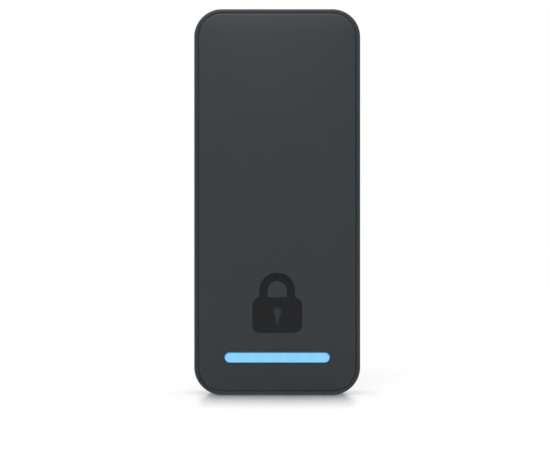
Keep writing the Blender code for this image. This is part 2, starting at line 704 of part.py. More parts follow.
def make_coil():
    """A flat rectangular spiral with round corners, drawn as its outer edge and then its inner edge."""
    def spiral(offset):
        points = []
        for turn in range(COIL_TURNS):
            for quarter, (side, end) in enumerate(((1, 1), (-1, 1), (-1, -1), (1, -1))):
                shrink = offset + COIL_PITCH * (turn + quarter / 4)
                radius = COIL_CORNER - shrink
                centre = (side * (COIL_HALF_WIDTH - COIL_CORNER), end * (COIL_HALF_HEIGHT - COIL_CORNER))
                for step in range(COIL_CORNER_STEPS + 1):
                    angle = math.pi / 2 * (quarter + step / COIL_CORNER_STEPS)
                    points.append((centre[0] + radius * math.cos(angle),
                                   COIL_Z + centre[1] + radius * math.sin(angle)))
        return points

    outline = spiral(0.0) + spiral(COIL_TRACE)[::-1]
    base = ANTENNA_BOARD_BACK + TOUCH
    return extruded("antenna_coil", outline, base, base + COIL_THICKNESS, "copper_trace")


def make_main_board():
    corners = mirrored_places(BOARD_SCREW_X, BOARD_SCREW_ROWS)
    notch = JACK_HALF_WIDTH + SHIELD_GAP + SHIELD_THICKNESS + GAP
    board = make_board("main_board", BOARD_HALF_WIDTH, (MAIN_BOARD_BOTTOM, BOARD_TOP),
                       (MAIN_BOARD_FRONT, MAIN_BOARD_BACK),
                       [(BOARD_HOLE_RADIUS, place) for place in corners],
                       [((-notch, notch), (MAIN_BOARD_BOTTOM - OVERLAP, JACK_TOP + 2 * OVERLAP))])
    back = MAIN_BOARD_BACK + SOLDER_GAP
    parts = [
        mounted_block("processor", PROCESSOR, MAIN_BOARD_FRONT, -1, "chip_black"),
        mounted_block("reader_chip", READER_CHIP, MAIN_BOARD_FRONT, -1, "chip_black"),
        mounted_block("rf_shield_can", RF_SHIELD_CAN, MAIN_BOARD_FRONT, -1, "tinned_steel"),
        mounted_block("poe_transformer", TRANSFORMER, MAIN_BOARD_BACK, 1, "transformer_tape"),
        rod("bulk_capacitor", CAPACITOR_RADIUS, CAPACITOR_PLACE, back, back + CAPACITOR_HEIGHT,
            "capacitor_can"),
        rod("buzzer", BUZZER_RADIUS, BUZZER_PLACE, back, back + BUZZER_HEIGHT, "chip_black"),
    ]
    return [board, *parts]


def mounted_block(name, footprint, board_face, side, finish):
    """A part on a board: it stands off the face towards -Y or +Y by the height in its footprint."""
    x_span, z_span, height = footprint
    near = board_face + side * SOLDER_GAP
    return block(name, x_span, sorted((near, near + side * height)), z_span, finish)


def make_jack():
    body = block("jack_body", (-JACK_HALF_WIDTH, JACK_HALF_WIDTH), (JACK_FRONT, JACK_BACK),
                 (JACK_BOTTOM, JACK_TOP), "chip_black")
    mouth = JACK_BOTTOM - OVERLAP
    cut(body, [
        block("port", (-PORT_HALF_WIDTH, PORT_HALF_WIDTH), (PORT_FRONT, PORT_BACK),
              (mouth, JACK_BOTTOM + PORT_DEPTH), None),
        block("latch_way", (-LATCH_HALF_WIDTH, LATCH_HALF_WIDTH), (PORT_FRONT + OVERLAP, LATCH_BACK),
              (mouth, JACK_BOTTOM + PORT_DEPTH), None),
    ])
    inner = SHIELD_GAP
    outer = SHIELD_GAP + SHIELD_THICKNESS
    shield = block("jack_shield", (-JACK_HALF_WIDTH - outer, JACK_HALF_WIDTH + outer),
                   (JACK_FRONT - outer, JACK_BACK + outer), (JACK_BOTTOM, JACK_TOP + outer), "tinned_steel")
    cut(shield, [
        block("shield_hollow", (-JACK_HALF_WIDTH - inner, JACK_HALF_WIDTH + inner),
              (JACK_FRONT - inner, JACK_BACK + inner), (mouth, JACK_TOP + inner), None)
    ])
    seal = block("jack_seal", (-JACK_HALF_WIDTH - outer, JACK_HALF_WIDTH + outer),
                 (JACK_FRONT, JACK_BACK), (BAY_SPAN[1] + POCKET_WALL + GAP, JACK_BOTTOM - GAP),
                 "seal_rubber")
    cut(seal, [
        block("seal_opening", (-PORT_HALF_WIDTH - GAP, PORT_HALF_WIDTH + GAP),
              (PORT_FRONT, LATCH_BACK + GAP), (BAY_SPAN[1], JACK_BOTTOM), None)
    ])
    return [body, shield, seal]


def make_led_board():
    holes = [(BOARD_HOLE_RADIUS, place) for place in mirrored_places(LED_SCREW_X, (LED_SCREW_Z,))]
    board = make_board("led_board", LED_BOARD_HALF_WIDTH, LED_BOARD_SPAN,
                       (LED_BOARD_FRONT, LED_BOARD_BACK), holes)
    width, thickness, height = LED_SIZE
    z_span = (BAR_Z - height / 2, BAR_Z + height / 2)
    leds = []
    for number in range(LED_COUNT):
        x = LED_PITCH * (number - (LED_COUNT - 1) / 2)
        footprint = ((x - width / 2, x + width / 2), z_span, thickness)
        leds.append(mounted_block(f"led_{number + 1}", footprint, LED_BOARD_FRONT, -1, "led_white"))
    return [board, *leds]


def make_led_ribbon():
    """The flat cable between the two boards, and the socket that each end goes into."""
    start, end = RIBBON_RUN
    sides = (RIBBON_SPAN[0] - SOCKET_MARGIN, RIBBON_SPAN[1] + SOCKET_MARGIN)
    lower_footprint = (sides, (start - SOCKET_LENGTHS[0], start - GAP), SOCKET_HEIGHT)
    upper_footprint = (sides, (end + GAP, end + SOCKET_LENGTHS[1]), SOCKET_HEIGHT)
    lower = mounted_block("ribbon_socket_lower", lower_footprint, LED_BOARD_BACK, 1, "chip_black")
    upper = mounted_block("ribbon_socket_upper", upper_footprint, MAIN_BOARD_FRONT, -1, "chip_black")
    lower_y = LED_BOARD_BACK + RIBBON_STAND_OFF
    upper_y = MAIN_BOARD_FRONT - RIBBON_STAND_OFF
    path = []
    for step in range(RIBBON_STEPS + 1):
        share = step / RIBBON_STEPS
        ease = share * share * (3 - 2 * share)
        path.append((lower_y + (upper_y - lower_y) * ease, start + (end - start) * share))
    half = RIBBON_HALF_THICKNESS
    outline = [(y - half, z) for y, z in path] + [(y + half, z) for y, z in reversed(path)]
    ribbon = extruded("led_ribbon", outline, *RIBBON_SPAN, "ribbon_film", axis="X")
    return [lower, upper, ribbon]


# Fasteners


def make_cover_screw(name, place):
    seat = COVER_SCREW_SEAT + TOUCH
    head, shank = COVER_HEAD_RADIUS, COVER_SHANK_RADIUS
    profile = [
        (shank, seat + COVER_HEAD_HEIGHT),
        (head - CHAMFER, seat + COVER_HEAD_HEIGHT - TOUCH),
        (head, seat + COVER_HEAD_HEIGHT / 2),
        (head, seat),
        (shank, seat),
        (shank, COVER_SHANK_TIP + shank / 2),
        (shank / 2, COVER_SHANK_TIP),
    ]
    return turned(name, profile, place, "screw_steel", sides=BOSS_SIDES)


def make_board_screw(name, place, board_back, length):
    seat = board_back + TOUCH
    head, shank = SMALL_HEAD_RADIUS, SMALL_SHANK_RADIUS
    profile = [
        (shank, seat + SMALL_HEAD_HEIGHT),
        (head, seat + SMALL_HEAD_HEIGHT - CHAMFER),
        (head, seat),
        (shank, seat),
        (shank, seat - length),
        (shank / 2, seat - length - GAP),
    ]
    return turned(name, profile, place, "screw_steel", sides=PILOT_SIDES)


def make_screws():
    screws = []
    for number, place in enumerate(mirrored_places(COVER_SCREW_X, COVER_SCREW_ROWS), 1):
        screws.append(make_cover_screw(f"cover_screw_{number}", place))
    for number, place in enumerate(mirrored_places(BOARD_SCREW_X, BOARD_SCREW_ROWS), 1):
        screws.append(make_board_screw(f"board_screw_{number}", place, MAIN_BOARD_BACK, BOARD_SHANK_LENGTH))
    for number, place in enumerate(mirrored_places(LED_SCREW_X, (LED_SCREW_Z,)), 1):
        name = f"led_board_screw_{number}"
        screws.append(make_board_screw(name, place, LED_BOARD_BACK, LED_SHANK_LENGTH))
    return screws


def make_lock_screw():
    """The captive screw backed out, with its head inside the counterbore and its tip just below the tab."""
    profile = [
        (SCREW_HEAD_RADIUS - CHAMFER, SCREW_HEAD_BOTTOM),
        (SCREW_HEAD_RADIUS, SCREW_HEAD_BOTTOM + CHAMFER),
        (SCREW_HEAD_RADIUS, SCREW_HEAD_TOP),
        (SCREW_RADIUS, SCREW_HEAD_TOP),
        (SCREW_RADIUS, SCREW_TIP - 2 * CHAMFER),
        (SCREW_RADIUS - 2 * CHAMFER, SCREW_TIP),
    ]
    screw = turned("lock_screw", profile, (0.0, SCREW_Y), "screw_steel", axis="Z", sides=ROD_SIDES)
    points = []
    steps = DRIVE_STEPS_PER_LOBE * DRIVE_LOBES
    for step in range(steps):
        angle = 2 * math.pi * step / steps
        radius = DRIVE_RADIUS + DRIVE_LOBE_HEIGHT * math.cos(DRIVE_LOBES * angle)
        points.append((radius * math.cos(angle), SCREW_Y + radius * math.sin(angle)))
    drive = extruded("drive_recess", points, -OVERLAP, SCREW_HEAD_BOTTOM + DRIVE_DEPTH, None, axis="Z")
    cut(screw, [drive])
    put_origin(screw, (0.0, SCREW_Y, SCREW_HEAD_BOTTOM))
    drive.parent = screw
    drive.matrix_parent_inverse = Matrix.Translation((0.0, -SCREW_Y, -SCREW_HEAD_BOTTOM))
    return screw


def make_lock_washer():
    low = SCREW_HEAD_TOP + SOLDER_GAP
    high = low + WASHER_THICKNESS
    section = [(WASHER_HOLE_RADIUS, low), (WASHER_RADIUS, low),
               (WASHER_RADIUS, high), (WASHER_HOLE_RADIUS, high)]
    rings = [(circle(radius, (0.0, SCREW_Y)), z) for radius, z in section]
    washer = lofted("lock_washer", rings, "seal_rubber", axis="Z", closed=True)
    put_origin(washer, (0.0, SCREW_Y, low))
    return washer


# Switches


def make_reset():
    back = MAIN_BOARD_BACK + SOLDER_GAP
    half = RESET_SWITCH_HALF_WIDTH
    footprint = ((SWITCH_X - half, SWITCH_X + half), (SWITCH_Z - half, SWITCH_Z + half),
                 RESET_SWITCH_HEIGHT)
    switch = mounted_block("reset_switch", footprint, MAIN_BOARD_BACK, 1, "chip_black")
    stud = rod("switch_stud", RESET_STUD_RADIUS, (SWITCH_X, SWITCH_Z), back + RESET_SWITCH_HEIGHT - OVERLAP,
               back + RESET_STUD_HEIGHT, None, sides=BOSS_SIDES)
    join(switch, [stud])
    profile = [
        (BUTTON_RADIUS, BUTTON_FOOT),
        (BUTTON_RADIUS, BUTTON_COLLAR[0]),
        (COLLAR_RADIUS, BUTTON_COLLAR[0]),
        (COLLAR_RADIUS, BUTTON_COLLAR[1]),
        (BUTTON_RADIUS, BUTTON_COLLAR[1]),
        (BUTTON_RADIUS, BUTTON_TIP - CHAMFER),
        (BUTTON_RADIUS - CHAMFER, BUTTON_TIP),
    ]
    button = turned("reset_button", profile, (SWITCH_X, SWITCH_Z), "button_plastic")
    put_origin(button, (SWITCH_X, BUTTON_FOOT, SWITCH_Z))
    return switch, button


def make_tamper():
    x = -SWITCH_X
    half_width, half_height = TAMPER_SWITCH_HALF_SIZE
    switch = block("tamper_switch", (x - half_width, x + half_width),
                   (MAIN_BOARD_BACK + SOLDER_GAP, PLUNGER_FOOT - GAP),
                   (SWITCH_Z - half_height, SWITCH_Z + half_height), "chip_black")
    profile = [
        (PLUNGER_RADIUS, PLUNGER_FOOT),
        (PLUNGER_RADIUS, PLUNGER_COLLAR[0]),
        (COLLAR_RADIUS, PLUNGER_COLLAR[0]),
        (COLLAR_RADIUS, PLUNGER_COLLAR[1]),
        (PLUNGER_RADIUS, PLUNGER_COLLAR[1]),
        (PLUNGER_RADIUS, PLUNGER_TIP - CHAMFER),
        (PLUNGER_RADIUS - CHAMFER, PLUNGER_TIP),
    ]
    plunger = turned("tamper_plunger", profile, (x, SWITCH_Z), "button_plastic")
    put_origin(plunger, (x, PLUNGER_FOOT, SWITCH_Z))
    spring = make_spring(x, PLUNGER_FOOT + SPRING_WIRE, PLUNGER_COLLAR[0] - GAP - SPRING_WIRE)
    return switch, plunger, spring


def make_spring(x, low, high):
    """A coil spring round the plunger, as a curve with a round section."""
    curve = bpy.data.curves.new("tamper_spring", "CURVE")
    curve.dimensions = "3D"
    curve.bevel_depth = SPRING_WIRE
    curve.bevel_resolution = 1
    curve.use_fill_caps = True
    steps = SPRING_STEPS_PER_TURN * SPRING_TURNS
    line = curve.splines.new("POLY")
    line.points.add(steps)
    for step, point in enumerate(line.points):
        angle = 2 * math.pi * SPRING_TURNS * step / steps
        along = low + (high - low) * step / steps
        across = SPRING_RADIUS * math.cos(angle)
        up = SPRING_RADIUS * math.sin(angle)
        point.co = (x + across, along, SWITCH_Z + up, 1.0)
    curve.materials.append(make_material("screw_steel"))
    spring = bpy.data.objects.new("tamper_spring", curve)
    bpy.context.scene.collection.objects.link(spring)
    return spring


# Wall bracket


def make_bracket():
    profile = [
        (PLATE_INSET + CHAMFER, PLATE_FRONT),
        (PLATE_INSET, PLATE_FRONT + CHAMFER),
        (PLATE_INSET, WALL_PLANE - CHAMFER),
        (PLATE_INSET + CHAMFER, WALL_PLANE),
    ]
    bracket = lofted("wall_bracket", [(case_outline(inset), y) for inset, y in profile], "bracket_steel")
    root = PLATE_FRONT + PLATE_THICKNESS / 2
    lip_back = HOOK_FRONT + PLATE_THICKNESS
    hook = [(root, HOOK_ARM_BOTTOM), (root, HOOK_ARM_TOP), (lip_back, HOOK_ARM_TOP),
            (lip_back, HOOK_LIP_TOP), (HOOK_FRONT, HOOK_LIP_TOP), (HOOK_FRONT, HOOK_ARM_BOTTOM)]
    arms = [
        extruded("hook", hook, x - HOOK_HALF_WIDTH, x + HOOK_HALF_WIDTH, None, axis="X")
        for x in (-HOOK_X, HOOK_X)
    ]
    arms.append(block("lock_tab", (-TAB_HALF_WIDTH, TAB_HALF_WIDTH), (TAB_FRONT, root),
                      (TAB_BOTTOM, TAB_TOP), None))
    join(bracket, arms)
    through = (PLATE_FRONT - OVERLAP, WALL_PLANE + OVERLAP)
    window = rounded_rectangle(WINDOW_HALF_WIDTH, (WINDOW_SPAN[1] - WINDOW_SPAN[0]) / 2, WINDOW_CORNER,
                               (0.0, sum(WINDOW_SPAN) / 2), WINDOW_CORNER_STEPS)
    openings = [extruded("cable_window", window, *through, None)]
    openings += [
        rod("wall_hole", WALL_HOLE_RADIUS, place, *through, None)
        for place in mirrored_places(WALL_HOLE_X, WALL_HOLE_ROWS)
    ]
    openings += [
        block("hook_blank", (x - HOOK_HALF_WIDTH, x + HOOK_HALF_WIDTH), through,
              (HOOK_ARM_BOTTOM - HOOK_BLANK_LENGTH, HOOK_ARM_BOTTOM), None)
        for x in (-HOOK_X, HOOK_X)
    ]
    openings.append(block("tab_blank", (-TAB_HALF_WIDTH, TAB_HALF_WIDTH), through,
                          (TAB_TOP, TAB_TOP + TAB_BLANK_LENGTH), None))
    openings.append(rod("tab_hole", TAB_HOLE_RADIUS, (0.0, SCREW_Y), TAB_BOTTOM - OVERLAP,
                        TAB_TOP + OVERLAP, None, axis="Z"))
    cut(bracket, openings)
    return bracket


def make_clinch_nut():
    low = TAB_TOP + NUT_SEAT_GAP
    high = low + NUT_HEIGHT
    section = [(NUT_HOLE_RADIUS, low), (NUT_RADIUS, low), (NUT_RADIUS, high), (NUT_HOLE_RADIUS, high)]
    rings = [(circle(radius, (0.0, SCREW_Y)), z) for radius, z in section]
    return lofted("clinch_nut", rings, "screw_steel", axis="Z", closed=True)


# Assembly


def hang_on(parent, objects):
    """Parents the objects without moving them."""
    bpy.context.view_layer.update()
    for obj in objects:
        obj.parent = parent
        obj.matrix_parent_inverse = parent.matrix_world.inverted()


def make_reader():
    pieces = [make_front_housing(), make_front_panel(), make_symbol(), make_light_bar(), make_rear_gasket(),
              make_rear_cover(), *make_cover_fittings(), *make_antenna(), *make_main_board(), *make_jack(),
              *make_led_board(), *make_led_ribbon(), *make_screws(), make_lock_washer(), make_lock_screw(),
              *make_reset(), *make_tamper()]
    pivot = bpy.data.objects.new("reader_pivot", None)
    bpy.context.scene.collection.objects.link(pivot)
    pivot.location = PIVOT
    hang_on(pivot, pieces)


clear_scene()
make_bracket()
make_clinch_nut()
make_reader()
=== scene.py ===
import math

import bmesh
import bpy
from mathutils import Matrix, Vector


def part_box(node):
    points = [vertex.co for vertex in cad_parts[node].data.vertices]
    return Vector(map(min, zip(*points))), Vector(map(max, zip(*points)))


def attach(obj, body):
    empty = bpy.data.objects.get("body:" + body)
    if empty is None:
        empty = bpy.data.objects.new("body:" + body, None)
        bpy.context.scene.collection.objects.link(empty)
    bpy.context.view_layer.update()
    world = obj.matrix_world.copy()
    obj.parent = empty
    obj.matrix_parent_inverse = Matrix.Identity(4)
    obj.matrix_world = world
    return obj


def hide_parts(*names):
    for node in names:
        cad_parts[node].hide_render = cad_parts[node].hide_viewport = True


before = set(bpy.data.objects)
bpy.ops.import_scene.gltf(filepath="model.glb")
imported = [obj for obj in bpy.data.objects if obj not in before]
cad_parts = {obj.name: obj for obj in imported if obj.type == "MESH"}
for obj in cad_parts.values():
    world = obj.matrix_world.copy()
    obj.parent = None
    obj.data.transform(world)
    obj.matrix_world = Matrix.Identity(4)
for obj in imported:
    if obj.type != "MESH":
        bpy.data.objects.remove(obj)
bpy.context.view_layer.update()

MM = 0.001

# Where things are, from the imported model
CASE_LOW, CASE_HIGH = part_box("front_housing")
PANEL_LOW, PANEL_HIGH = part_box("front_panel")
BAR_LOW, BAR_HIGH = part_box("light_bar")
SYMBOL_LOW, SYMBOL_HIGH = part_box("symbol_inlay")
PLATE_LOW, PLATE_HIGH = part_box("wall_bracket")
JACK_LOW, JACK_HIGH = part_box("jack_body")

WIDTH = CASE_HIGH.x - CASE_LOW.x
HEIGHT = CASE_HIGH.z - CASE_LOW.z
MIDDLE = (CASE_LOW + CASE_HIGH) / 2
FRONT, BACK = CASE_LOW.y, CASE_HIGH.y
CORNER = 8.1 * MM

# How far a cutter reaches past what it cuts, or a joined piece into what it joins
PAST = 0.5 * MM

# Measures that several pieces or finishes share
BAR_Z = (BAR_LOW.z + BAR_HIGH.z) / 2
BAR_LENGTH, BAR_HEIGHT = 30.8 * MM, 3.1 * MM
BAR_CLEARANCE = 0.15 * MM
LAMP_PITCH = 5.0 * MM
RIM_WIDTH = 1.15 * MM
SCREW_PLACE = (0.0, 2.8 * MM)
LABEL_Z = 82.0 * MM
LABEL_HALF = (9.5 * MM, 10.5 * MM)
PAINT = (0.0225, 0.0290, 0.0335)
COVER_SCREWS = [(side * 17.0 * MM, z * MM) for z in (17.5, 39.0, 101.5) for side in (-1, 1)]
BOARD_SCREWS = [(side * 18.2 * MM, z * MM) for z in (53.0, 95.6) for side in (-1, 1)]
LAMP_SCREWS = [(side * 7.0 * MM, 18.0 * MM) for side in (-1, 1)]
HOOK_PLACES = (-9.4 * MM, 9.4 * MM)
BUTTON_PLACE = (13.0 * MM, 64.0 * MM)
PLUNGER_PLACE = (-13.0 * MM, 64.0 * MM)
COVER_INSIDE, COVER_LIP, COVER_FLOOR = 6.5 * MM, 7.4 * MM, 8.1 * MM
PLATE_FRONT = 8.6 * MM
VENT_PLACE = (13.0 * MM, 80.0 * MM)
THREAD_PITCH = 0.5 * MM

# Edges that turn by more than this many degrees are sharp
SHARP = 40


# Shader maths


class Wire:
    """The output of a node, which adds and multiplies like a number."""

    def __init__(self, finish, socket):
        self.finish = finish
        self.socket = socket

    def __add__(self, other):
        return self.finish.maths("ADD", self, other)

    def __radd__(self, other):
        return self.finish.maths("ADD", other, self)

    def __sub__(self, other):
        return self.finish.maths("SUBTRACT", self, other)

    def __rsub__(self, other):
        return self.finish.maths("SUBTRACT", other, self)

    def __mul__(self, other):
        return self.finish.maths("MULTIPLY", self, other)

    def __pow__(self, other):
        return self.finish.maths("POWER", self, other)

    def __abs__(self):
        return self.finish.maths("ABSOLUTE", self)


class Finish:
    """A material under construction, with the position on the object already split into x, y and z."""

    def __init__(self, name, roughness=0.5, metallic=0.0, **fixed):
        self.material = bpy.data.materials.new(name)
        self.material.use_nodes = True
        self.tree = self.material.node_tree
        self.shader = self.tree.nodes["Principled BSDF"]
        self.shader.inputs["Roughness"].default_value = roughness
        self.shader.inputs["Metallic"].default_value = metallic
        for socket, value in fixed.items():
            self.shader.inputs[socket.replace("_", " ")].default_value = value
        self.place = self.node("ShaderNodeTexCoord", output="Object")
        split = self.node("ShaderNodeSeparateXYZ", Vector=self.place)
        self.x = split
        self.y = Wire(self, split.socket.node.outputs["Y"])
        self.z = Wire(self, split.socket.node.outputs["Z"])

    def node(self, kind, settings=None, output=0, **values):
        made = self.tree.nodes.new(kind)
        for key, value in (settings or {}).items():
            setattr(made, key, value)
        for socket, value in values.items():
            self.connect(made.inputs[socket.replace("_", " ")], value)
        return Wire(self, made.outputs[output])

    def connect(self, socket, value):
        if isinstance(value, Wire):
            self.tree.links.new(value.socket, socket)
        elif isinstance(value, (tuple, list)) and len(value) == 3 and len(socket.default_value) == 4:
            socket.default_value = (*value, 1.0)
        else:
            socket.default_value = value

    def maths(self, operation, *values):
        made = self.tree.nodes.new("ShaderNodeMath")
        made.operation = operation
        for socket, value in zip(made.inputs, values):
            self.connect(socket, value)
        return Wire(self, made.outputs[0])

    def above(self, value, edge, softness):
        """0 below the edge and 1 above it, with a soft step between."""
        step = self.tree.nodes.new("ShaderNodeMapRange")
        step.interpolation_type = "SMOOTHSTEP"
        self.connect(step.inputs["Value"], value)
        self.connect(step.inputs["From Min"], edge - softness)
        self.connect(step.inputs["From Max"], edge + softness)
        return Wire(self, step.outputs["Result"])

    def mix(self, share, first, second):
        """A colour between two colours."""
        made = self.tree.nodes.new("ShaderNodeMix")
        made.data_type = "RGBA"
        self.connect(made.inputs["Factor"], share)
        self.connect(made.inputs[6], first)
        self.connect(made.inputs[7], second)
        return Wire(self, made.outputs[2])

    def blend(self, share, first, second):
        """One surface between two."""
        made = self.node("ShaderNodeMixShader")
        inputs = made.socket.node.inputs
        self.connect(inputs[0], share)
        self.tree.links.new(first, inputs[1])
        self.tree.links.new(second, inputs[2])
        return made

    def noise(self, size, detail=3.0, stretch=None):
        """Soft noise from 0 to 1 whose features are about size metres across."""
        place = self.place
        if stretch:
            place = self.node("ShaderNodeMapping", Vector=self.place, Scale=stretch)
        return self.node("ShaderNodeTexNoise", Vector=place, Scale=1.0 / size, Detail=detail)

    def cells(self, size, feature="F1", output="Distance"):
        """Cells about size metres across: the distance in each, or a colour for each."""
        return self.node("ShaderNodeTexVoronoi", {"feature": feature}, output, Vector=self.place,
                         Scale=1.0 / size)

    def colour(self, wire):
        self.connect(self.shader.inputs["Base Color"], wire)

    def rough(self, wire):
        self.connect(self.shader.inputs["Roughness"], wire)

    def bump(self, height, distance):
        made = self.node("ShaderNodeBump", Height=height, Distance=distance)
        self.connect(self.shader.inputs["Normal"], made)

    def outline_distance(self, half_width, half_height, radius, middle_z):
        """Distance outwards from a rounded rectangle seen from the front, negative inside it."""
        across = abs(self.x) - (half_width - radius)
        up = abs(self.z - middle_z) - (half_height - radius)
        beyond = (self.maths("MAXIMUM", across, 0.0) ** 2.0 + self.maths("MAXIMUM", up, 0.0) ** 2.0) ** 0.5
        within = self.maths("MINIMUM", self.maths("MAXIMUM", across, up), 0.0)
        return beyond + within - radius


# Mesh work

# From the plane that a shape is drawn in to the plane across an axis
FACING = {
    "X": Matrix(((0, 0, 1, 0), (1, 0, 0, 0), (0, 1, 0, 0), (0, 0, 0, 1))),
    "Y": Matrix(((1, 0, 0, 0), (0, 0, 1, 0), (0, 1, 0, 0), (0, 0, 0, 1))),
    "Z": Matrix.Identity(4),
}


def loop(bm, size, radius, middle, depth, steps=16, axis="Y"):
    """A loop of edges: a rounded rectangle of that size round middle, in a plane across the axis."""
    before = set(bm.edges)
    corners = bmesh.ops.create_grid(bm, x_segments=1, y_segments=1, size=0.5)["verts"]
    bmesh.ops.scale(bm, vec=(size[0], size[1], 1.0), verts=corners)
    bmesh.ops.translate(bm, vec=(middle[0], middle[1], depth), verts=corners)
    bmesh.ops.transform(bm, matrix=FACING[axis], verts=corners)
    if radius > 0:
        bmesh.ops.bevel(bm, geom=corners, offset=min(radius, min(size) * 0.4999), offset_type="OFFSET",
                        segments=steps, profile=0.5, affect="VERTICES", material=-1)
    edges = [edge for edge in bm.edges if edge not in before]
    filled = {face for edge in edges for face in edge.link_faces}
    bmesh.ops.delete(bm, geom=list(filled), context="FACES_ONLY")
    return edges


def hoop(bm, radius, middle, depth, steps=48, axis="Y"):
    """A round loop of edges in a plane across the axis."""
    made = bmesh.ops.create_circle(bm, cap_ends=False, radius=radius, segments=steps)["verts"]
    bmesh.ops.translate(bm, vec=(middle[0], middle[1], depth), verts=made)
    bmesh.ops.transform(bm, matrix=FACING[axis], verts=made)
    return list({edge for vert in made for edge in vert.link_edges})


def cap(bm, edges):
    """Fills a flat loop of edges."""
    for face in bmesh.ops.triangle_fill(bm, use_beauty=True, edges=edges)["geom"]:
        if isinstance(face, bmesh.types.BMFace):
            face.smooth = False


def fillet(inset, depth, radius, turn_in, turn_out, steps=5):
    """Points of a quarter circle: from (inset, depth) the edge moves by turn_in and then by turn_out."""
    points = []
    for step in range(steps + 1):
        angle = math.pi / 2 * step / steps
        a, b = radius * math.sin(angle), radius * (1 - math.cos(angle))
        points.append((inset + turn_in[0] * a + turn_out[0] * b, depth + turn_in[1] * a + turn_out[1] * b))
    return points


def finished(name, bm, material=None):
    """The object made of the mesh under construction, closed up and with its faces outwards."""
    bmesh.ops.remove_doubles(bm, verts=bm.verts, dist=1e-7)
    bmesh.ops.recalc_face_normals(bm, faces=bm.faces)
    if bm.calc_volume(signed=True) < 0:
        bmesh.ops.reverse_faces(bm, faces=bm.faces)
    mesh = bpy.data.meshes.new(name)
    bm.to_mesh(mesh)
    bm.free()
    mesh.set_sharp_from_angle(angle=math.radians(SHARP))
    piece = bpy.data.objects.new(name, mesh)
    bpy.context.scene.collection.objects.link(piece)
    if material:
        mesh.materials.append(material)
    return piece


def carve(piece, operation, helpers):
    """Joins the helpers to the piece or cuts them out of it, for good."""
    for helper in helpers:
        change = piece.modifiers.new("carve", "BOOLEAN")
        change.operation = operation
        change.solver = "MANIFOLD"
        change.object = helper
    graph = bpy.context.evaluated_depsgraph_get()
    mesh = bpy.data.meshes.new_from_object(piece.evaluated_get(graph))
    piece.modifiers.clear()
    old = piece.data
    mesh.name = old.name
    piece.data = mesh
    bpy.data.meshes.remove(old)
    mesh.set_sharp_from_angle(angle=math.radians(SHARP))
    for helper in helpers:
        bpy.data.objects.remove(helper, do_unlink=True)
    return piece


def soften(piece, width, segments=2, angle=35):
    """Rounds the edges that turn by more than the angle, with a live bevel."""
    bevel = piece.modifiers.new("soft edges", "BEVEL")
    bevel.width = width
    bevel.segments = segments
    bevel.limit_method = "ANGLE"
    bevel.angle_limit = math.radians(angle)
    return piece


def stacked(name, rings, draw):
    """A solid skinned over rings. Each pair has its own two loops, which are merged afterwards."""
    bm = bmesh.new()
    loops = []
    for pair in zip(rings, rings[1:]):
        first, second = (draw(bm, *ring) for ring in pair)
        for face in bmesh.ops.bridge_loops(bm, edges=first + second)["faces"]:
            face.smooth = True
        loops += [first, second]
    cap(bm, loops[0])
    cap(bm, loops[-1])
    return finished(name, bm)


def rounded(name, rings, middle, axis="Y", steps=16):
    """A solid from rings, each (size, radius, depth)."""

    def draw(bm, size, radius, depth):
        return loop(bm, size, radius, middle, depth, steps, axis)

    return stacked(name, rings, draw)


def prism(name, size, radius, ends, middle, axis="Y", steps=16):
    """A straight-sided solid with rounded corners, between two depths."""
    return rounded(name, [(size, radius, end) for end in ends], middle, axis, steps)


def turned(name, profile, middle, axis="Y", steps=48):
    """A solid of revolution from its profile, each (radius, place along the axis)."""

    def draw(bm, radius, depth):
        return hoop(bm, radius, middle, depth, steps, axis)

    return stacked(name, profile, draw)


def shoulder(radius, end, edge, steps):
    """The rounded edge at the far end of a turned piece, as points of its profile."""
    return [(radius - inset, depth) for inset, depth in fillet(0, end - edge, edge, (0, 1), (1, 0), steps)]


def round_place(node):
    """Where a round CAD node is that lies along Y: its place in x and z, its radius, and its y ends."""
    low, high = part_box(node)
    return ((low.x + high.x) / 2, (low.z + high.z) / 2), (high.x - low.x) / 2, low.y, high.y


def block(name, low, high, radius=0.0, axis="Y", steps=6):
    """A straight-sided block between two corners, with the edges along the axis rounded."""
    order = {"X": (1, 2, 0), "Y": (0, 2, 1), "Z": (0, 1, 2)}[axis]
    low, high = Vector(low), Vector(high)
    size = [high[i] - low[i] for i in order[:2]]
    middle = [(high[i] + low[i]) / 2 for i in order[:2]]
    along = order[2]
    return prism(name, size, radius, (low[along], high[along]), middle, axis, steps)


# Finishes


def tinted(colour, factor):
    """The colour made lighter or darker."""
    return tuple(min(1.0, part * factor) for part in colour)


def moulded_plastic(name, base, roughness):
    """Anthracite moulding: fine spark grain, faint flow clouds, a rubbed, slightly lighter edge, and a
    painted floor bounce that lightens it near the bottom.
    """
    finish = Finish(name, Specular_IOR_Level=0.42)
    clouds = finish.noise(14 * MM, 2.0)
    grains = finish.noise(0.16 * MM, 2.0)
    fine = finish.cells(0.22 * MM)
    shade = finish.mix(clouds, tinted(base, 0.94), tinted(base, 1.06))
    distance = finish.outline_distance(WIDTH / 2, HEIGHT / 2, CORNER, MIDDLE.z)
    near_front = 1 - finish.above(finish.y, FRONT + 0.5 * MM, 0.3 * MM)
    near_back = finish.above(finish.y, BACK - 0.8 * MM, 0.4 * MM)
    at_edge = finish.above(distance, -0.40 * MM, 0.25 * MM) * finish.maths("MAXIMUM", near_front, near_back)
    worn = at_edge * finish.above(finish.noise(2.2 * MM, 4.0), 0.46, 0.12)
    # Painted light: the colour is made lighter near the bottom, in place of light thrown up from the floor.
    painted_floor_bounce = 1 - finish.above(finish.z, 1.3 * MM, 0.9 * MM)
    # The lighter share holds both the worn edge and this painted floor bounce.
    rubbed = finish.maths("MAXIMUM", worn * 0.2, painted_floor_bounce * 0.9)
    finish.colour(finish.mix(rubbed, shade, tinted(base, 1.45)))
    finish.rough(roughness + (grains - 0.5) * 0.10 + (clouds - 0.5) * 0.05 - worn * 0.08)
    finish.bump(grains * 0.6 + fine * 0.4, 0.004 * MM)
    return finish.material


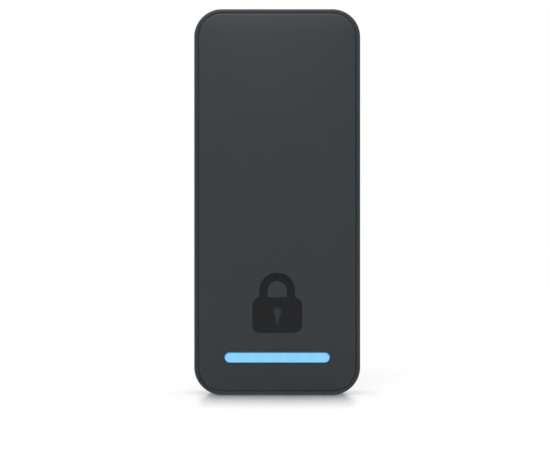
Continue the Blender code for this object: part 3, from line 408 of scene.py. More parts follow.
def panel_paint():
    """Satin paint film on the front panel: an even fleck, a soft orange peel, a few hairlines, and a painted
    highlight along the panel's edge.
    """
    finish = Finish("panel_paint", Specular_IOR_Level=0.45)
    peel = finish.noise(0.9 * MM, 2.0)
    fleck = finish.noise(0.10 * MM, 1.0)
    clouds = finish.noise(26 * MM, 2.0)
    hairs = finish.noise(0.35 * MM, 2.0, stretch=(1.0, 1.0, 0.03))
    rubbed = finish.above(hairs, 0.70, 0.03)
    shade = finish.mix(clouds * 0.6 + fleck * 0.4, tinted(PAINT, 0.93), tinted(PAINT, 1.07))
    distance = finish.outline_distance(WIDTH / 2, HEIGHT / 2, CORNER, MIDDLE.z)
    # Painted highlight: a lighter line along the panel's edge fillet, in place of the light the fillet
    # catches.
    edge = finish.above(distance, -1.74 * MM, 0.08 * MM)
    finish.colour(finish.mix(edge * 0.4, shade, tinted(PAINT, 1.6)))
    finish.rough(0.50 + (fleck - 0.5) * 0.10 + (clouds - 0.5) * 0.06 - rubbed * 0.05)
    finish.bump(peel * 0.7 + fleck * 0.3, 0.0022 * MM)
    return finish.material


def symbol_gloss():
    """Polished black inlay with a trace of haze."""
    finish = Finish("symbol_gloss", Specular_IOR_Level=0.30)
    haze = finish.noise(1.6 * MM, 3.0)
    finish.colour(finish.mix(haze, (0.0060, 0.0064, 0.0075), (0.0085, 0.0090, 0.0105)))
    finish.rough(0.26 + haze * 0.12)
    finish.bump(haze, 0.0015 * MM)
    return finish.material


def lit_diffuser():
    """Opal light guide, lit from behind, a little brighter over each lamp and dimmer at its rim."""
    finish = Finish("lit_diffuser", roughness=0.35, Specular_IOR_Level=0.30, Emission_Strength=1.0)
    ripple = finish.maths("COSINE", (finish.x - LAMP_PITCH / 2) * (2 * math.pi / LAMP_PITCH)) * 0.5 + 0.5
    up = abs(finish.z - BAR_Z)
    across = finish.maths("MAXIMUM", abs(finish.x) - (BAR_LENGTH - BAR_HEIGHT) / 2, 0.0)
    rim = finish.above((across ** 2.0 + up ** 2.0) ** 0.5, BAR_HEIGHT * 0.43, BAR_HEIGHT * 0.06)
    cloud = finish.noise(2.5 * MM, 2.0)
    lit = finish.mix(ripple * 0.6 + cloud * 0.2, (0.150, 0.455, 0.765), (0.172, 0.490, 0.810))
    finish.colour(finish.mix(cloud, (0.10, 0.20, 0.28), (0.12, 0.22, 0.30)))
    glow = finish.mix(rim * 0.92, lit, (0.010, 0.055, 0.110))
    finish.connect(finish.shader.inputs["Emission Color"], glow)
    return finish.material


def sheet_metal(name, base, roughness, along=(0.05, 1.0, 1.0), spangle=0.0):
    """Metal with fine lines along one way and, if it is zinc plated, pale spangles."""
    finish = Finish(name, metallic=1.0)
    lines = finish.noise(0.12 * MM, 3.0, stretch=along)
    clouds = finish.noise(6 * MM, 3.0)
    scuffs = finish.above(finish.noise(1.3 * MM, 5.0, stretch=(1.0, 1.0, 0.25)), 0.62, 0.05)
    flake = finish.node("ShaderNodeSeparateColor", Color=finish.cells(2.4 * MM, output="Color"))
    shade = lines * 0.35 + clouds * (0.65 - spangle * 0.4) + flake * (spangle * 0.4)
    finish.colour(finish.mix(shade, tinted(base, 0.80), tinted(base, 1.12)))
    finish.rough(roughness + (clouds - 0.5) * 0.16 + (lines - 0.5) * 0.10
                 + (flake - 0.5) * (0.12 * spangle) + scuffs * 0.10)
    finish.bump(lines, 0.0020 * MM)
    return finish.material


def seal_rubber():
    finish = Finish("seal_rubber", Specular_IOR_Level=0.3)
    dust = finish.noise(0.8 * MM, 4.0)
    finish.colour(finish.mix(dust, (0.012, 0.012, 0.013), (0.028, 0.028, 0.029)))
    finish.rough(0.72 + dust * 0.16)
    finish.bump(finish.noise(0.08 * MM, 2.0), 0.003 * MM)
    return finish.material


def plain_plastic(name, base, roughness):
    finish = Finish(name)
    clouds = finish.noise(3 * MM, 3.0)
    grains = finish.noise(0.09 * MM, 2.0)
    finish.colour(finish.mix(clouds, tinted(base, 0.88), tinted(base, 1.12)))
    finish.rough(roughness + (grains - 0.5) * 0.12)
    finish.bump(grains, 0.003 * MM)
    return finish.material


def circuit_board():
    """Green solder mask over copper tracks, with bare round pads."""
    finish = Finish("circuit_board", Coat_Roughness=0.2)
    upright = finish.above(abs(finish.maths("COSINE", finish.x * (math.pi / (0.8 * MM)))), 0.90, 0.03)
    level = finish.above(abs(finish.maths("COSINE", finish.z * (math.pi / (0.9 * MM)))), 0.90, 0.03)
    region = finish.above(finish.noise(5 * MM, 1.0), 0.50, 0.01)
    tracks = upright * region + level * (1 - region)
    tracks = tracks * finish.above(finish.noise(3 * MM, 1.0), 0.44, 0.01)
    pads = 1 - finish.above(finish.cells(2.6 * MM), 0.13, 0.02)
    weave = finish.noise(0.4 * MM, 2.0)
    mask = finish.mix(tracks, (0.006, 0.050, 0.026), (0.016, 0.105, 0.050))
    finish.colour(finish.mix(pads, finish.mix(weave * 0.3, mask, (0.010, 0.070, 0.040)), (0.72, 0.70, 0.64)))
    finish.connect(finish.shader.inputs["Metallic"], pads)
    finish.rough(0.34 + weave * 0.10)
    finish.bump(tracks + pads, 0.03 * MM)
    return finish.material


def ferrite_sheet():
    finish = Finish("ferrite_sheet", Specular_IOR_Level=0.4)
    cracks = finish.above(finish.cells(1.8 * MM, "DISTANCE_TO_EDGE"), 0.03, 0.02)
    clouds = finish.noise(2 * MM, 3.0)
    sintered = finish.mix(clouds, (0.045, 0.043, 0.041), (0.060, 0.058, 0.055))
    finish.colour(finish.mix(cracks, (0.020, 0.019, 0.018), sintered))
    finish.rough(0.5 + clouds * 0.2)
    finish.bump(cracks, 0.01 * MM)
    return finish.material


def wound_tape():
    """Amber tape in turns round the transformer."""
    finish = Finish("wound_tape", Specular_IOR_Level=0.5)
    turns = finish.maths("COSINE", finish.y * (2 * math.pi / (0.7 * MM))) * 0.5 + 0.5
    clouds = finish.noise(1.5 * MM, 3.0)
    finish.colour(finish.mix(turns * 0.4 + clouds * 0.4, (0.42, 0.24, 0.025), (0.70, 0.47, 0.08)))
    finish.rough(0.28 + clouds * 0.15)
    finish.bump(turns, 0.02 * MM)
    return finish.material


def printed_label():
    """Matt white film with ruled grey lines of different lengths and a thin frame."""
    finish = Finish("printed_label", Specular_IOR_Level=0.35)
    middle, half = LABEL_Z, LABEL_HALF
    beside, beyond = abs(finish.x) - half[0], abs(finish.z - middle) - half[1]
    outward = finish.maths("MAXIMUM", beside, beyond)
    frame_line = finish.above(outward, -0.9 * MM, 0.02 * MM) - finish.above(outward, -0.7 * MM, 0.02 * MM)
    rows = finish.above(finish.maths("COSINE", (finish.z - middle) * (2 * math.pi / (1.8 * MM))), 0.55, 0.05)
    dashes = finish.above(finish.noise(0.9 * MM, 2.0, stretch=(1.0, 0.01, 0.35)), 0.47, 0.02)
    inside = 1 - finish.above(beside, -2.0 * MM, 0.02 * MM)
    low = 1 - finish.above(beyond, -1.8 * MM, 0.02 * MM)
    ink = finish.maths("MAXIMUM", rows * dashes * inside * low, frame_line)
    paper = finish.mix(finish.noise(0.5 * MM, 3.0), (0.74, 0.74, 0.73), (0.80, 0.80, 0.79))
    finish.colour(finish.mix(ink * 0.85, paper, (0.10, 0.10, 0.11)))
    finish.rough(0.48 + finish.noise(0.2 * MM, 2.0) * 0.1)
    finish.bump(finish.noise(0.15 * MM, 2.0), 0.002 * MM)
    return finish.material


# Pieces of the case


def around_case(profile):
    """Rings that follow the case's outline, moved in by each profile point's inset, at its depth."""
    return [((WIDTH - 2 * inset, HEIGHT - 2 * inset), CORNER - inset, depth) for inset, depth in profile]


def straight_rod(place, radius, low, high, axis="Y", steps=32):
    return turned("rod", [(radius, low), (radius, high)], place, axis=axis, steps=steps)


def bar_opening(low, high, steps=16):
    """A cutter for the opening that the light bar shows through."""
    size = (BAR_LENGTH + 2 * BAR_CLEARANCE, BAR_HEIGHT + 2 * BAR_CLEARANCE)
    return prism("bar_opening", size, size[1] / 2, (low - PAST, high + PAST), (0, BAR_Z), steps=steps)


# Bosses inside the case: their screws' places, radius, end, and the pilot hole's radius, start and steps
BOSSES = (
    (COVER_SCREWS, 2.5 * MM, 4.9 * MM, 1.15 * MM, -5.0 * MM, 20),
    (BOARD_SCREWS, 1.8 * MM, -2.9 * MM, 0.8 * MM, -6.2 * MM, 16),
    (LAMP_SCREWS, 1.8 * MM, -4.3 * MM, 0.8 * MM, -6.2 * MM, 16),
)


def case_shell():
    """The outer shell: a rim round the panel, a rounded back edge and the screws' bosses."""
    edge, rear_edge, lip = 0.42 * MM, 1.50 * MM, 0.20 * MM
    wall, front_wall = 2.0 * MM, (-8.2 * MM, -6.8 * MM)
    profile = [(RIM_WIDTH, front_wall[0])]
    profile += fillet(RIM_WIDTH, FRONT + lip, lip, (0, -1), (-1, 0), 3)
    profile += fillet(edge, FRONT, edge, (-1, 0), (0, 1), 8)
    profile += fillet(0, BACK - rear_edge, rear_edge, (0, 1), (1, 0), 10)
    seat, shelf, seat_y = 1.7 * MM, 3.6 * MM, 6.6 * MM
    profile += [(seat, BACK - 0.1 * MM), (seat, seat_y), (shelf, seat_y), (shelf, 5.2 * MM),
                (wall, 4.0 * MM), (wall, front_wall[1])]
    shell = rounded("case_shell", around_case(profile), (0, MIDDLE.z), steps=24)
    foot = front_wall[1] - PAST
    bosses, cutters = [], []
    for places, radius, end, pilot, start, steps in BOSSES:
        bosses += [straight_rod(place, radius, foot, end) for place in places]
        cutters += [straight_rod(place, pilot, start, end + PAST, steps=steps) for place in places]
    bosses.append(block("screw_boss", (-4.0 * MM, -1.0 * MM, wall - PAST), (4.0 * MM, 6.2 * MM, 7.6 * MM)))
    carve(shell, "UNION", bosses)
    cutters.append(bar_opening(*front_wall))
    well = [(3.2 * MM, -0.4 * MM), (2.8 * MM, 0.3 * MM), (2.8 * MM, 6.0 * MM)]
    cutters.append(turned("screw_well", well, SCREW_PLACE, axis="Z", steps=64))
    cutters.append(straight_rod(SCREW_PLACE, 1.8 * MM, 5.5 * MM, 8.1 * MM, axis="Z"))
    return carve(shell, "DIFFERENCE", cutters)


def padlock(clearance, depths):
    """The padlock symbol as a solid: a body with a shackle, and a keyhole if it has no clearance, which is
    the inlay itself and not the pocket for it."""
    low, high = depths
    body_size = (14.2 * MM, 10.0 * MM)
    body_z = SYMBOL_LOW.z + body_size[1] / 2
    shackle_out, shackle_in = 10.1 * MM, 5.9 * MM
    shackle_foot = SYMBOL_LOW.z + body_size[1] - PAST

    def plate(name, size, radius, z, grow):
        size = (size[0] + 2 * grow, size[1] + 2 * grow)
        return prism(name, size, radius + grow, depths, (0, z))

    top = SYMBOL_HIGH.z
    tall = top - shackle_foot + shackle_out / 2
    body = plate("padlock", body_size, 2.2 * MM, body_z, clearance)
    arch = plate("arch", (shackle_out, tall), shackle_out / 2, top - tall / 2, clearance)
    gap_height = tall - (shackle_out - shackle_in) / 2
    gap_z = top - (shackle_out - shackle_in) / 2 - gap_height / 2
    inner = shackle_in - 2 * clearance
    gap = prism("gap", (inner, gap_height), inner / 2, (low - PAST, high + PAST), (0, gap_z - clearance))
    carve(arch, "DIFFERENCE", [gap])
    carve(body, "UNION", [arch])
    if clearance == 0:
        hole_z = SYMBOL_LOW.z + 6.0 * MM
        slot = (1.3 * MM, 3.6 * MM)
        carve(body, "DIFFERENCE", [
            straight_rod((0, hole_z), 1.4 * MM, low - PAST, high + PAST, steps=40),
            prism("slot", slot, 0.3 * MM, (low - PAST, high + PAST), (0, hole_z - slot[1] / 2))])
    return body


def symbol_piece():
    inlay = padlock(0.0, (SYMBOL_LOW.y, SYMBOL_HIGH.y))
    return soften(inlay, 0.07 * MM, 2)


def panel_piece():
    """The front panel, with a flange under the case's rim, the bar's opening and the inlay's pocket."""
    edge = 0.24 * MM
    inset = (WIDTH - (PANEL_HIGH.x - PANEL_LOW.x)) / 2
    flange, step = RIM_WIDTH + 0.05 * MM, PANEL_LOW.y + 0.50 * MM
    profile = fillet(inset + edge, PANEL_LOW.y, edge, (-1, 0), (0, 1), 6)
    profile += [(inset, step), (flange, step + 0.05 * MM), (flange, PANEL_HIGH.y - 0.1 * MM),
                (inset, PANEL_HIGH.y)]
    panel = rounded("panel_face", around_case(profile), (0, MIDDLE.z), steps=24)
    gap = 0.12 * MM
    pocket = padlock(gap, (PANEL_LOW.y - PAST, SYMBOL_HIGH.y + gap))
    carve(panel, "DIFFERENCE", [bar_opening(PANEL_LOW.y, PANEL_HIGH.y, 14), pocket])
    return soften(panel, 0.05 * MM, 1, 60)


def bar_piece():
    """The light guide: a long pill with a flange behind the panel."""
    edge, flange_face = 0.22 * MM, -6.5 * MM
    rings = []
    for inset, depth in fillet(edge, BAR_LOW.y, edge, (-1, 0), (0, 1), 5):
        rings.append(((BAR_LENGTH - 2 * inset, BAR_HEIGHT - 2 * inset), BAR_HEIGHT / 2 - inset, depth))
    rings.append(((BAR_LENGTH, BAR_HEIGHT), BAR_HEIGHT / 2, flange_face))
    flange = (BAR_HIGH.x - BAR_LOW.x, BAR_HIGH.z - BAR_LOW.z)
    rings += [(flange, flange[1] / 2, flange_face), (flange, flange[1] / 2, BAR_HIGH.y)]
    return rounded("light_window", rings, (0, BAR_Z), steps=14)


def rear_shell():
    """The cover: a rim round the bracket's recess, the cable bay, and pockets for the hooks and the tab."""
    inside, lip, floor = COVER_INSIDE, COVER_LIP, COVER_FLOOR
    rim, recess, foot = 0.35 * MM, 0.25 * MM, 0.20 * MM
    outline, recess_inset = 2.0 * MM, 4.6 * MM
    profile = [(3.9 * MM, inside), (3.9 * MM, lip), (outline, lip)]
    profile += fillet(outline, BACK - rim, rim, (0, 1), (1, 0), 5)
    profile += fillet(recess_inset - recess, BACK, recess, (1, 0), (0, -1), 4)
    profile += fillet(recess_inset, floor + foot, foot, (0, -1), (1, 0), 3)
    cover = rounded("cover_shell", around_case(profile), (0, MIDDLE.z), steps=24)
    wall, join_y = 1.2 * MM, inside + 0.3 * MM
    bay_low, bay_high = (-9.0 * MM, -3.2 * MM, 23.0 * MM), (9.0 * MM, BACK, 47.6 * MM)
    tab_low, tab_high = (-6.2 * MM, -1.0 * MM, 9.1 * MM), (6.2 * MM, BACK, 13.7 * MM)
    solids = [straight_rod(place, 2.7 * MM, 5.2 * MM, join_y) for place in COVER_SCREWS]
    hollows = []
    for low, high in ((bay_low, bay_high), (tab_low, tab_high)):
        solids.append(block("wall", [v - wall for v in low], (high[0] + wall, join_y, high[2] + wall), wall))
        size = (high[0] - low[0], high[2] - low[2])
        wide = (size[0] + 0.5 * MM, size[1] + 0.5 * MM)
        middle = (0, (low[2] + high[2]) / 2)
        hollows.append(rounded("hollow", [(size, 0.8 * MM, low[1]), (size, 0.8 * MM, floor - 0.25 * MM),
                                          (wide, 1.05 * MM, floor), (wide, 1.05 * MM, BACK + PAST)], middle))
    for x in HOOK_PLACES:
        half = 3.6 * MM
        solids.append(block("hook_wall", (x - half - wall, 2.4 * MM, 100.3 * MM),
                            (x + half + wall, join_y, 108.5 * MM), 0.8 * MM))
        hollows.append(block("hook_hollow", (x - half, 3.6 * MM, 101.5 * MM), (x + half, inside, 107.3 * MM),
                             0.4 * MM))
        slot = (2 * half, 3.9 * MM)
        wide = (slot[0] + 0.4 * MM, slot[1])
        steps = [(slot, 0.4 * MM, inside - PAST), (slot, 0.4 * MM, floor - 0.2 * MM),
                 (wide, 0.5 * MM, floor), (wide, 0.5 * MM, BACK + PAST)]
        hollows.append(rounded("hook_slot", steps, (x, 103.45 * MM)))
    carve(cover, "UNION", solids)
    for place in COVER_SCREWS:
        seat = [(2.2 * MM, 6.7 * MM), (2.2 * MM, floor - 0.15 * MM), (2.35 * MM, floor),
                (2.35 * MM, BACK + PAST)]
        hollows.append(turned("seat", seat, place, steps=40))
        hollows.append(straight_rod(place, 1.3 * MM, 4.9 * MM, 7.2 * MM))
    hollows += [
        block("port_opening", (-6.25 * MM, -3.2 * MM, 47.1 * MM), (6.25 * MM, 5.3 * MM, 49.3 * MM), 0.4 * MM,
              axis="Z"),
        straight_rod(SCREW_PLACE, 1.9 * MM, 7.4 * MM, 9.6 * MM, axis="Z"),
        straight_rod(BUTTON_PLACE, 1.6 * MM, inside - PAST, BACK + PAST),
        straight_rod(PLUNGER_PLACE, 1.4 * MM, inside - PAST, BACK + PAST),
        straight_rod(VENT_PLACE, 1.0 * MM, inside - PAST, BACK + PAST),
        turned("vent_seat", [(2.8 * MM, 7.2 * MM), (2.8 * MM, floor - 0.1 * MM), (2.9 * MM, floor),
                             (2.9 * MM, BACK + PAST)], VENT_PLACE),
    ]
    return carve(cover, "DIFFERENCE", hollows)


def bent_strip(name, width, thickness, start, angle, moves, tip=0.0):
    """A flat strip across X. It starts at start, heads off at an angle above +Y, and goes through the
    moves, each ("go", length) or ("turn", radius of its middle, degrees)."""
    bm = bmesh.new()
    corners = bmesh.ops.create_grid(bm, x_segments=1, y_segments=1, size=0.5)["verts"]
    place, angle = Vector(start), math.radians(angle)
    bmesh.ops.scale(bm, vec=(width, thickness, 1.0), verts=corners)
    bmesh.ops.rotate(bm, cent=(0, 0, 0), matrix=Matrix.Rotation(angle - math.pi / 2, 3, "X"), verts=corners)
    bmesh.ops.translate(bm, vec=place, verts=corners)
    face, inner = bm.faces[:][0], []
    for move in moves:
        if move[0] == "go":
            step = Vector((0.0, math.cos(angle), math.sin(angle))) * move[1]
            made = bmesh.ops.extrude_face_region(bm, geom=[face])["geom"]
            moved = [part for part in made if isinstance(part, bmesh.types.BMVert)]
            bmesh.ops.translate(bm, vec=step, verts=moved)
            place += step
        else:
            turn = math.radians(move[2])
            centre = place + Vector((0.0, -math.sin(angle), math.cos(angle))) * math.copysign(move[1], turn)
            made = bmesh.ops.spin(bm, geom=[face], cent=centre, axis=(1, 0, 0), angle=turn, steps=7,
                                  use_merge=False, use_duplicate=False)["geom_last"]
            place = centre + Matrix.Rotation(turn, 3, "X") @ (place - centre)
            angle += turn
        bmesh.ops.delete(bm, geom=[old for old in inner if old.is_valid], context="FACES_ONLY")
        face = [part for part in made if isinstance(part, bmesh.types.BMFace)][0]
        inner = [face]
    if tip:
        ends = [edge for edge in face.edges if abs(edge.verts[0].co.x - edge.verts[1].co.x) < 1e-7]
        bmesh.ops.bevel(bm, geom=ends, offset=tip, segments=6, profile=0.5, affect="EDGES", material=-1)
    return finished(name, bm)


def wall_plate():
    """The bracket: a flat plate with a cable window, screw holes, and a tab and two hooks bent out of it."""
    front, wall_face = PLATE_FRONT, PLATE_HIGH.y
    thickness = wall_face - front
    edge, bend, inset = 0.12 * MM, 0.5 * MM, PLATE_LOW.z
    profile = fillet(inset + edge, front, edge, (-1, 0), (0, 1), 3)
    profile += fillet(inset, wall_face - edge, edge, (0, 1), (1, 0), 3)
    plate = rounded("bracket_plate", around_case(profile), (0, MIDDLE.z), steps=16)
    low, high = front - PAST, wall_face + PAST
    cutters = [block("window", (-10.0 * MM, low, 22.0 * MM), (10.0 * MM, high, 48.4 * MM), 3.0 * MM),
               block("tab_window", (-5.3 * MM, low, 9.7 * MM), (5.3 * MM, high, 19.7 * MM), 0.6 * MM)]
    for x in HOOK_PLACES:
        cutters.append(block("hook_window", (x - 3.3 * MM, low, 95.7 * MM), (x + 3.3 * MM, high, 105.1 * MM),
                             0.6 * MM))
    for z in (17.0, 53.5, 90.0):
        for side in (-1, 1):
            hole = [(1.95 * MM, low), (1.95 * MM, wall_face - 0.10 * MM), (2.05 * MM, wall_face),
                    (2.05 * MM, high)]
            cutters.append(turned("wall_hole", hole, (side * 14.5 * MM, z * MM), steps=40))
    carve(plate, "DIFFERENCE", cutters)
    middle_y = (front + wall_face) / 2
    turn = bend + thickness / 2
    tab_z, hook_z = 10.3 * MM, 104.5 * MM
    root = 0.4 * MM
    tab_path = [("go", root), ("turn", turn, 90), ("go", middle_y - turn + 0.2 * MM)]
    tab_start = (0, middle_y, tab_z - turn - root)
    strips = [bent_strip("tab", 10.0 * MM, thickness, tab_start, 90, tab_path, 1.0 * MM)]
    for x in HOOK_PLACES:
        lip = middle_y - turn - (4.6 * MM + thickness / 2 + turn)
        hook_path = [("go", root), ("turn", turn, -90), ("go", lip), ("turn", turn, -90),
                     ("go", 106.9 * MM - hook_z - turn)]
        hook_start = (x, middle_y, hook_z + turn + root)
        strips.append(bent_strip("hook", 6.0 * MM, thickness, hook_start, -90, hook_path, 0.8 * MM))
    carve(plate, "UNION", strips)
    hole = straight_rod(SCREW_PLACE, 1.7 * MM, tab_z - 2 * thickness, tab_z + 2 * thickness, axis="Z")
    return carve(plate, "DIFFERENCE", [hole])


# Fasteners and switches

# A threaded shank's core radius, as a share of its outer radius
CORE = 0.86


def lobed_drive(place, depth, radius, axis, sign):
    """Cutters for a six-lobed recess that goes in from the face at depth[0] to depth[1]."""
    low, high = sorted((depth[0] - sign * PAST, depth[1]))
    cutters = [straight_rod(place, radius * 0.80, low, high, axis, 24)]
    for lobe in range(6):
        angle = math.pi / 3 * lobe
        spot = (place[0] + radius * 0.76 * math.cos(angle), place[1] + radius * 0.76 * math.sin(angle))
        cutters.append(straight_rod(spot, radius * 0.24, low, high, axis, 14))
    return cutters


def thread_ridge(name, place, radius, low, high, axis):
    """A pointed ridge that winds round a shank."""
    pitch, turns = THREAD_PITCH, (high - low) / THREAD_PITCH
    bm = bmesh.new()
    points = bmesh.ops.create_circle(bm, cap_ends=True, radius=pitch * 0.48, segments=3)["verts"]
    bmesh.ops.rotate(bm, cent=(0, 0, 0), matrix=Matrix.Rotation(math.pi / 2, 3, "X"), verts=points)
    turned_to = Matrix.Rotation(-math.pi / 2, 3, "Y")
    bmesh.ops.rotate(bm, cent=(0, 0, 0), matrix=turned_to, verts=points)
    bmesh.ops.translate(bm, vec=(radius - pitch * 0.12, 0, low), verts=points)
    steps = int(turns * 20)
    bmesh.ops.spin(bm, geom=bm.faces[:], cent=(0, 0, 0), axis=(0, 0, 1), dvec=(0, 0, (high - low) / steps),
                   angle=2 * math.pi * turns, steps=steps, use_merge=False, use_duplicate=False)
    bmesh.ops.translate(bm, vec=(place[0], place[1], 0), verts=bm.verts)
    bmesh.ops.transform(bm, matrix=FACING[axis], verts=bm.verts)
    return finished(name, bm)


def threaded_screw(node, shank, head, recess, axis="Y", head_up=True):
    """A screw in the place of its CAD node: shank radius, (head radius, head height), recess depth. Its
    thread is a second piece."""
    low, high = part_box(node)
    along, across = {"Y": (1, (0, 2)), "Z": (2, (0, 1))}[axis]
    place = [(low[i] + high[i]) / 2 for i in across]
    start, end = low[along], high[along]
    radius, height = head
    soft, point = height * 0.28, shank * 0.5
    if head_up:
        seat = end - height
        profile = [(shank * 0.45, start), (shank * CORE, start + point), (shank * CORE, seat),
                   (radius - 0.1 * MM, seat), (radius, seat + 0.1 * MM)]
        profile += shoulder(radius, end, soft, 5)
        ridge = (start + point, seat - THREAD_PITCH)
        face = (end, end - recess)
    else:
        seat = start + height
        profile = [(radius - inset, depth) for inset, depth in fillet(soft, start, soft, (-1, 0), (0, 1), 5)]
        profile += [(radius, seat - 0.1 * MM), (radius - 0.1 * MM, seat), (shank * CORE, seat),
                    (shank * CORE, end - point), (shank * 0.45, end)]
        ridge = (seat + THREAD_PITCH * 2, end - point)
        face = (start, start + recess)
    screw = turned(node + "_threaded", profile, place, axis=axis, steps=48)
    carve(screw, "DIFFERENCE", lobed_drive(place, face, radius * 0.50, axis, -1 if head_up else 1))
    return [screw, thread_ridge(node + "_thread", place, shank * CORE, *ridge, axis)]


def button_piece(name, node, collar, radius, dome):
    """A plunger in its CAD node's place: a stem with a round collar and a domed tip."""
    place, wide, start, end = round_place(node)
    foot, edge = 0.15 * MM, 0.1 * MM
    profile = [(radius - foot, start), (radius, start + foot), (radius, collar[0])]
    profile += [(wide - edge, collar[0]), (wide, collar[0] + edge), (wide, collar[1] - edge),
                (wide - edge, collar[1]), (radius, collar[1])]
    profile += shoulder(radius, end, dome, 7)
    return turned(name, profile, place, steps=40)


def jack_shell():
    """The jack's plastic body with its port and latch notch."""
    low, high = JACK_LOW, JACK_HIGH
    body = block("jack_insert", low, high, 0.3 * MM, axis="Z")
    mouth, depth = low.z, low.z + 13.0 * MM
    port = [((11.9 * MM, 6.7 * MM), 0.3 * MM, depth), ((11.9 * MM, 6.7 * MM), 0.3 * MM, mouth + 0.4 * MM),
            ((12.4 * MM, 7.2 * MM), 0.5 * MM, mouth), ((12.4 * MM, 7.2 * MM), 0.5 * MM, mouth - PAST)]
    middle = (0.0, 0.25 * MM)
    latch_low, latch_high = (-3.2 * MM, 3.0 * MM, mouth - PAST), (3.2 * MM, 5.0 * MM, mouth + 10.0 * MM)
    cutters = [rounded("port", port, middle, axis="Z"),
               block("latch", latch_low, latch_high, 0.2 * MM, axis="Z")]
    return carve(body, "DIFFERENCE", cutters)


def jack_contacts():
    """Eight sprung wires that fold at the mouth and slope back into the port."""
    wires = []
    for number in range(8):
        x = (number - 3.5) * 1.02 * MM
        start = (x, JACK_LOW.y + 1.35 * MM, JACK_LOW.z + 10.5 * MM)
        wires.append(bent_strip("wire", 0.40 * MM, 0.28 * MM, start, -90,
                                [("go", 7.6 * MM), ("turn", 0.42 * MM, 158), ("go", 7.0 * MM)]))
    return together("jack_contacts", wires)


def together(name, parts):
    """One object from separate parts that touch nothing of each other."""
    bm = bmesh.new()
    for part in parts:
        bm.from_mesh(part.data)
        bpy.data.objects.remove(part, do_unlink=True)
    return finished(name, bm)


def label_piece():
    low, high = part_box("rating_label")
    return block("printed_label", low, high, 1.0 * MM, steps=10)


def vent_piece():
    """The vent's plug, with a dished face."""
    place, radius, start, end = round_place("vent_plug")
    edge = 0.12 * MM
    vent = turned("vent_disc", [(radius, start), (radius, end - edge), (radius - edge, end)], place)
    dish = turned("dish", [(radius * 0.62, end - 0.15 * MM), (radius * 0.68, end + PAST)], place)
    return carve(vent, "DIFFERENCE", [dish])


def nut_piece():
    """The clinch nut, with chamfered ends and a countersunk bore."""
    low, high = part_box("clinch_nut")
    radius = (high.x - low.x) / 2
    edge = 0.15 * MM
    profile = [(radius - edge, low.z), (radius, low.z + edge), (radius, high.z - edge),
               (radius - edge, high.z)]
    nut = turned("clinched_nut", profile, SCREW_PLACE, axis="Z", steps=48)
    bore = [(1.9 * MM, low.z - PAST), (1.9 * MM, low.z), (1.65 * MM, low.z + 0.25 * MM),
            (1.65 * MM, high.z - 0.25 * MM), (1.9 * MM, high.z), (1.9 * MM, high.z + PAST)]
    return carve(nut, "DIFFERENCE", [turned("bore", bore, SCREW_PLACE, axis="Z", steps=40)])


# Parts on the boards


def packaged_part(node, corner, edge, marked):
    """A moulded package in its CAD node's place, with a round mark sunk near a corner if it has one."""
    low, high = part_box(node)
    part = block(node + "_package", low, high, corner, steps=4)
    if marked:
        place = (low.x + 1.1 * MM, high.z - 1.1 * MM)
        carve(part, "DIFFERENCE", [straight_rod(place, 0.4 * MM, low.y - PAST, low.y + 0.08 * MM, steps=20)])
    return soften(part, edge)


def capacitor_can():
    """A drawn can with a crimped neck and a cross scored in its end."""
    place, radius, start, end = round_place("bulk_capacitor")
    neck = radius - 0.3 * MM
    profile = [(radius, start), (radius, start + 0.9 * MM), (neck, start + 1.2 * MM),
               (neck, start + 1.4 * MM), (radius, start + 1.7 * MM), *shoulder(radius, end, 0.35 * MM, 5)]
    can = turned("capacitor_can", profile, place)
    reach, half = 1.9 * MM, 0.12 * MM
    for across, up in ((reach, half), (half, reach)):
        low = (place[0] - across, end - 0.10 * MM, place[1] - up)
        carve(can, "DIFFERENCE", [block("score", low, (place[0] + across, end + PAST, place[1] + up))])
    return can


def buzzer_case():
    """A round case with a soft shoulder and its sound hole."""
    place, radius, start, end = round_place("buzzer")
    case = turned("buzzer_case", [(radius, start), *shoulder(radius, end, 0.5 * MM, 6)], place)
    return carve(case, "DIFFERENCE", [straight_rod(place, 1.0 * MM, end - 1.0 * MM, end + PAST)])


# Camera, light and floor

CAMERA_DISTANCE = 0.620
SENSOR = 0.036
VIEW_WIDTH = 0.1602
FLOOR_SIZE = 0.50
FLOOR_GLOSS = 0.80
GLOSS_REACH = 0.024
FRONT_GLOW = 0.12
LAMPS = (
    ("overhead", (0.0, 0.0, 1.4), (0.0, 0.0, 0.0), 4.0, 37.5),
    ("front_top", (-0.014, -0.14, 0.23), (0.0, 0.0, 0.105), 0.10, 0.25),
)
# The backdrop's glow goes from FRONT_GLOW before the object to full behind it, between these directions' y
GLOW_FROM, GLOW_TO = -0.2, 0.5
CAMERA_AT = (-0.64 * MM, PANEL_LOW.y - CAMERA_DISTANCE, MIDDLE.z - 6.7 * MM)


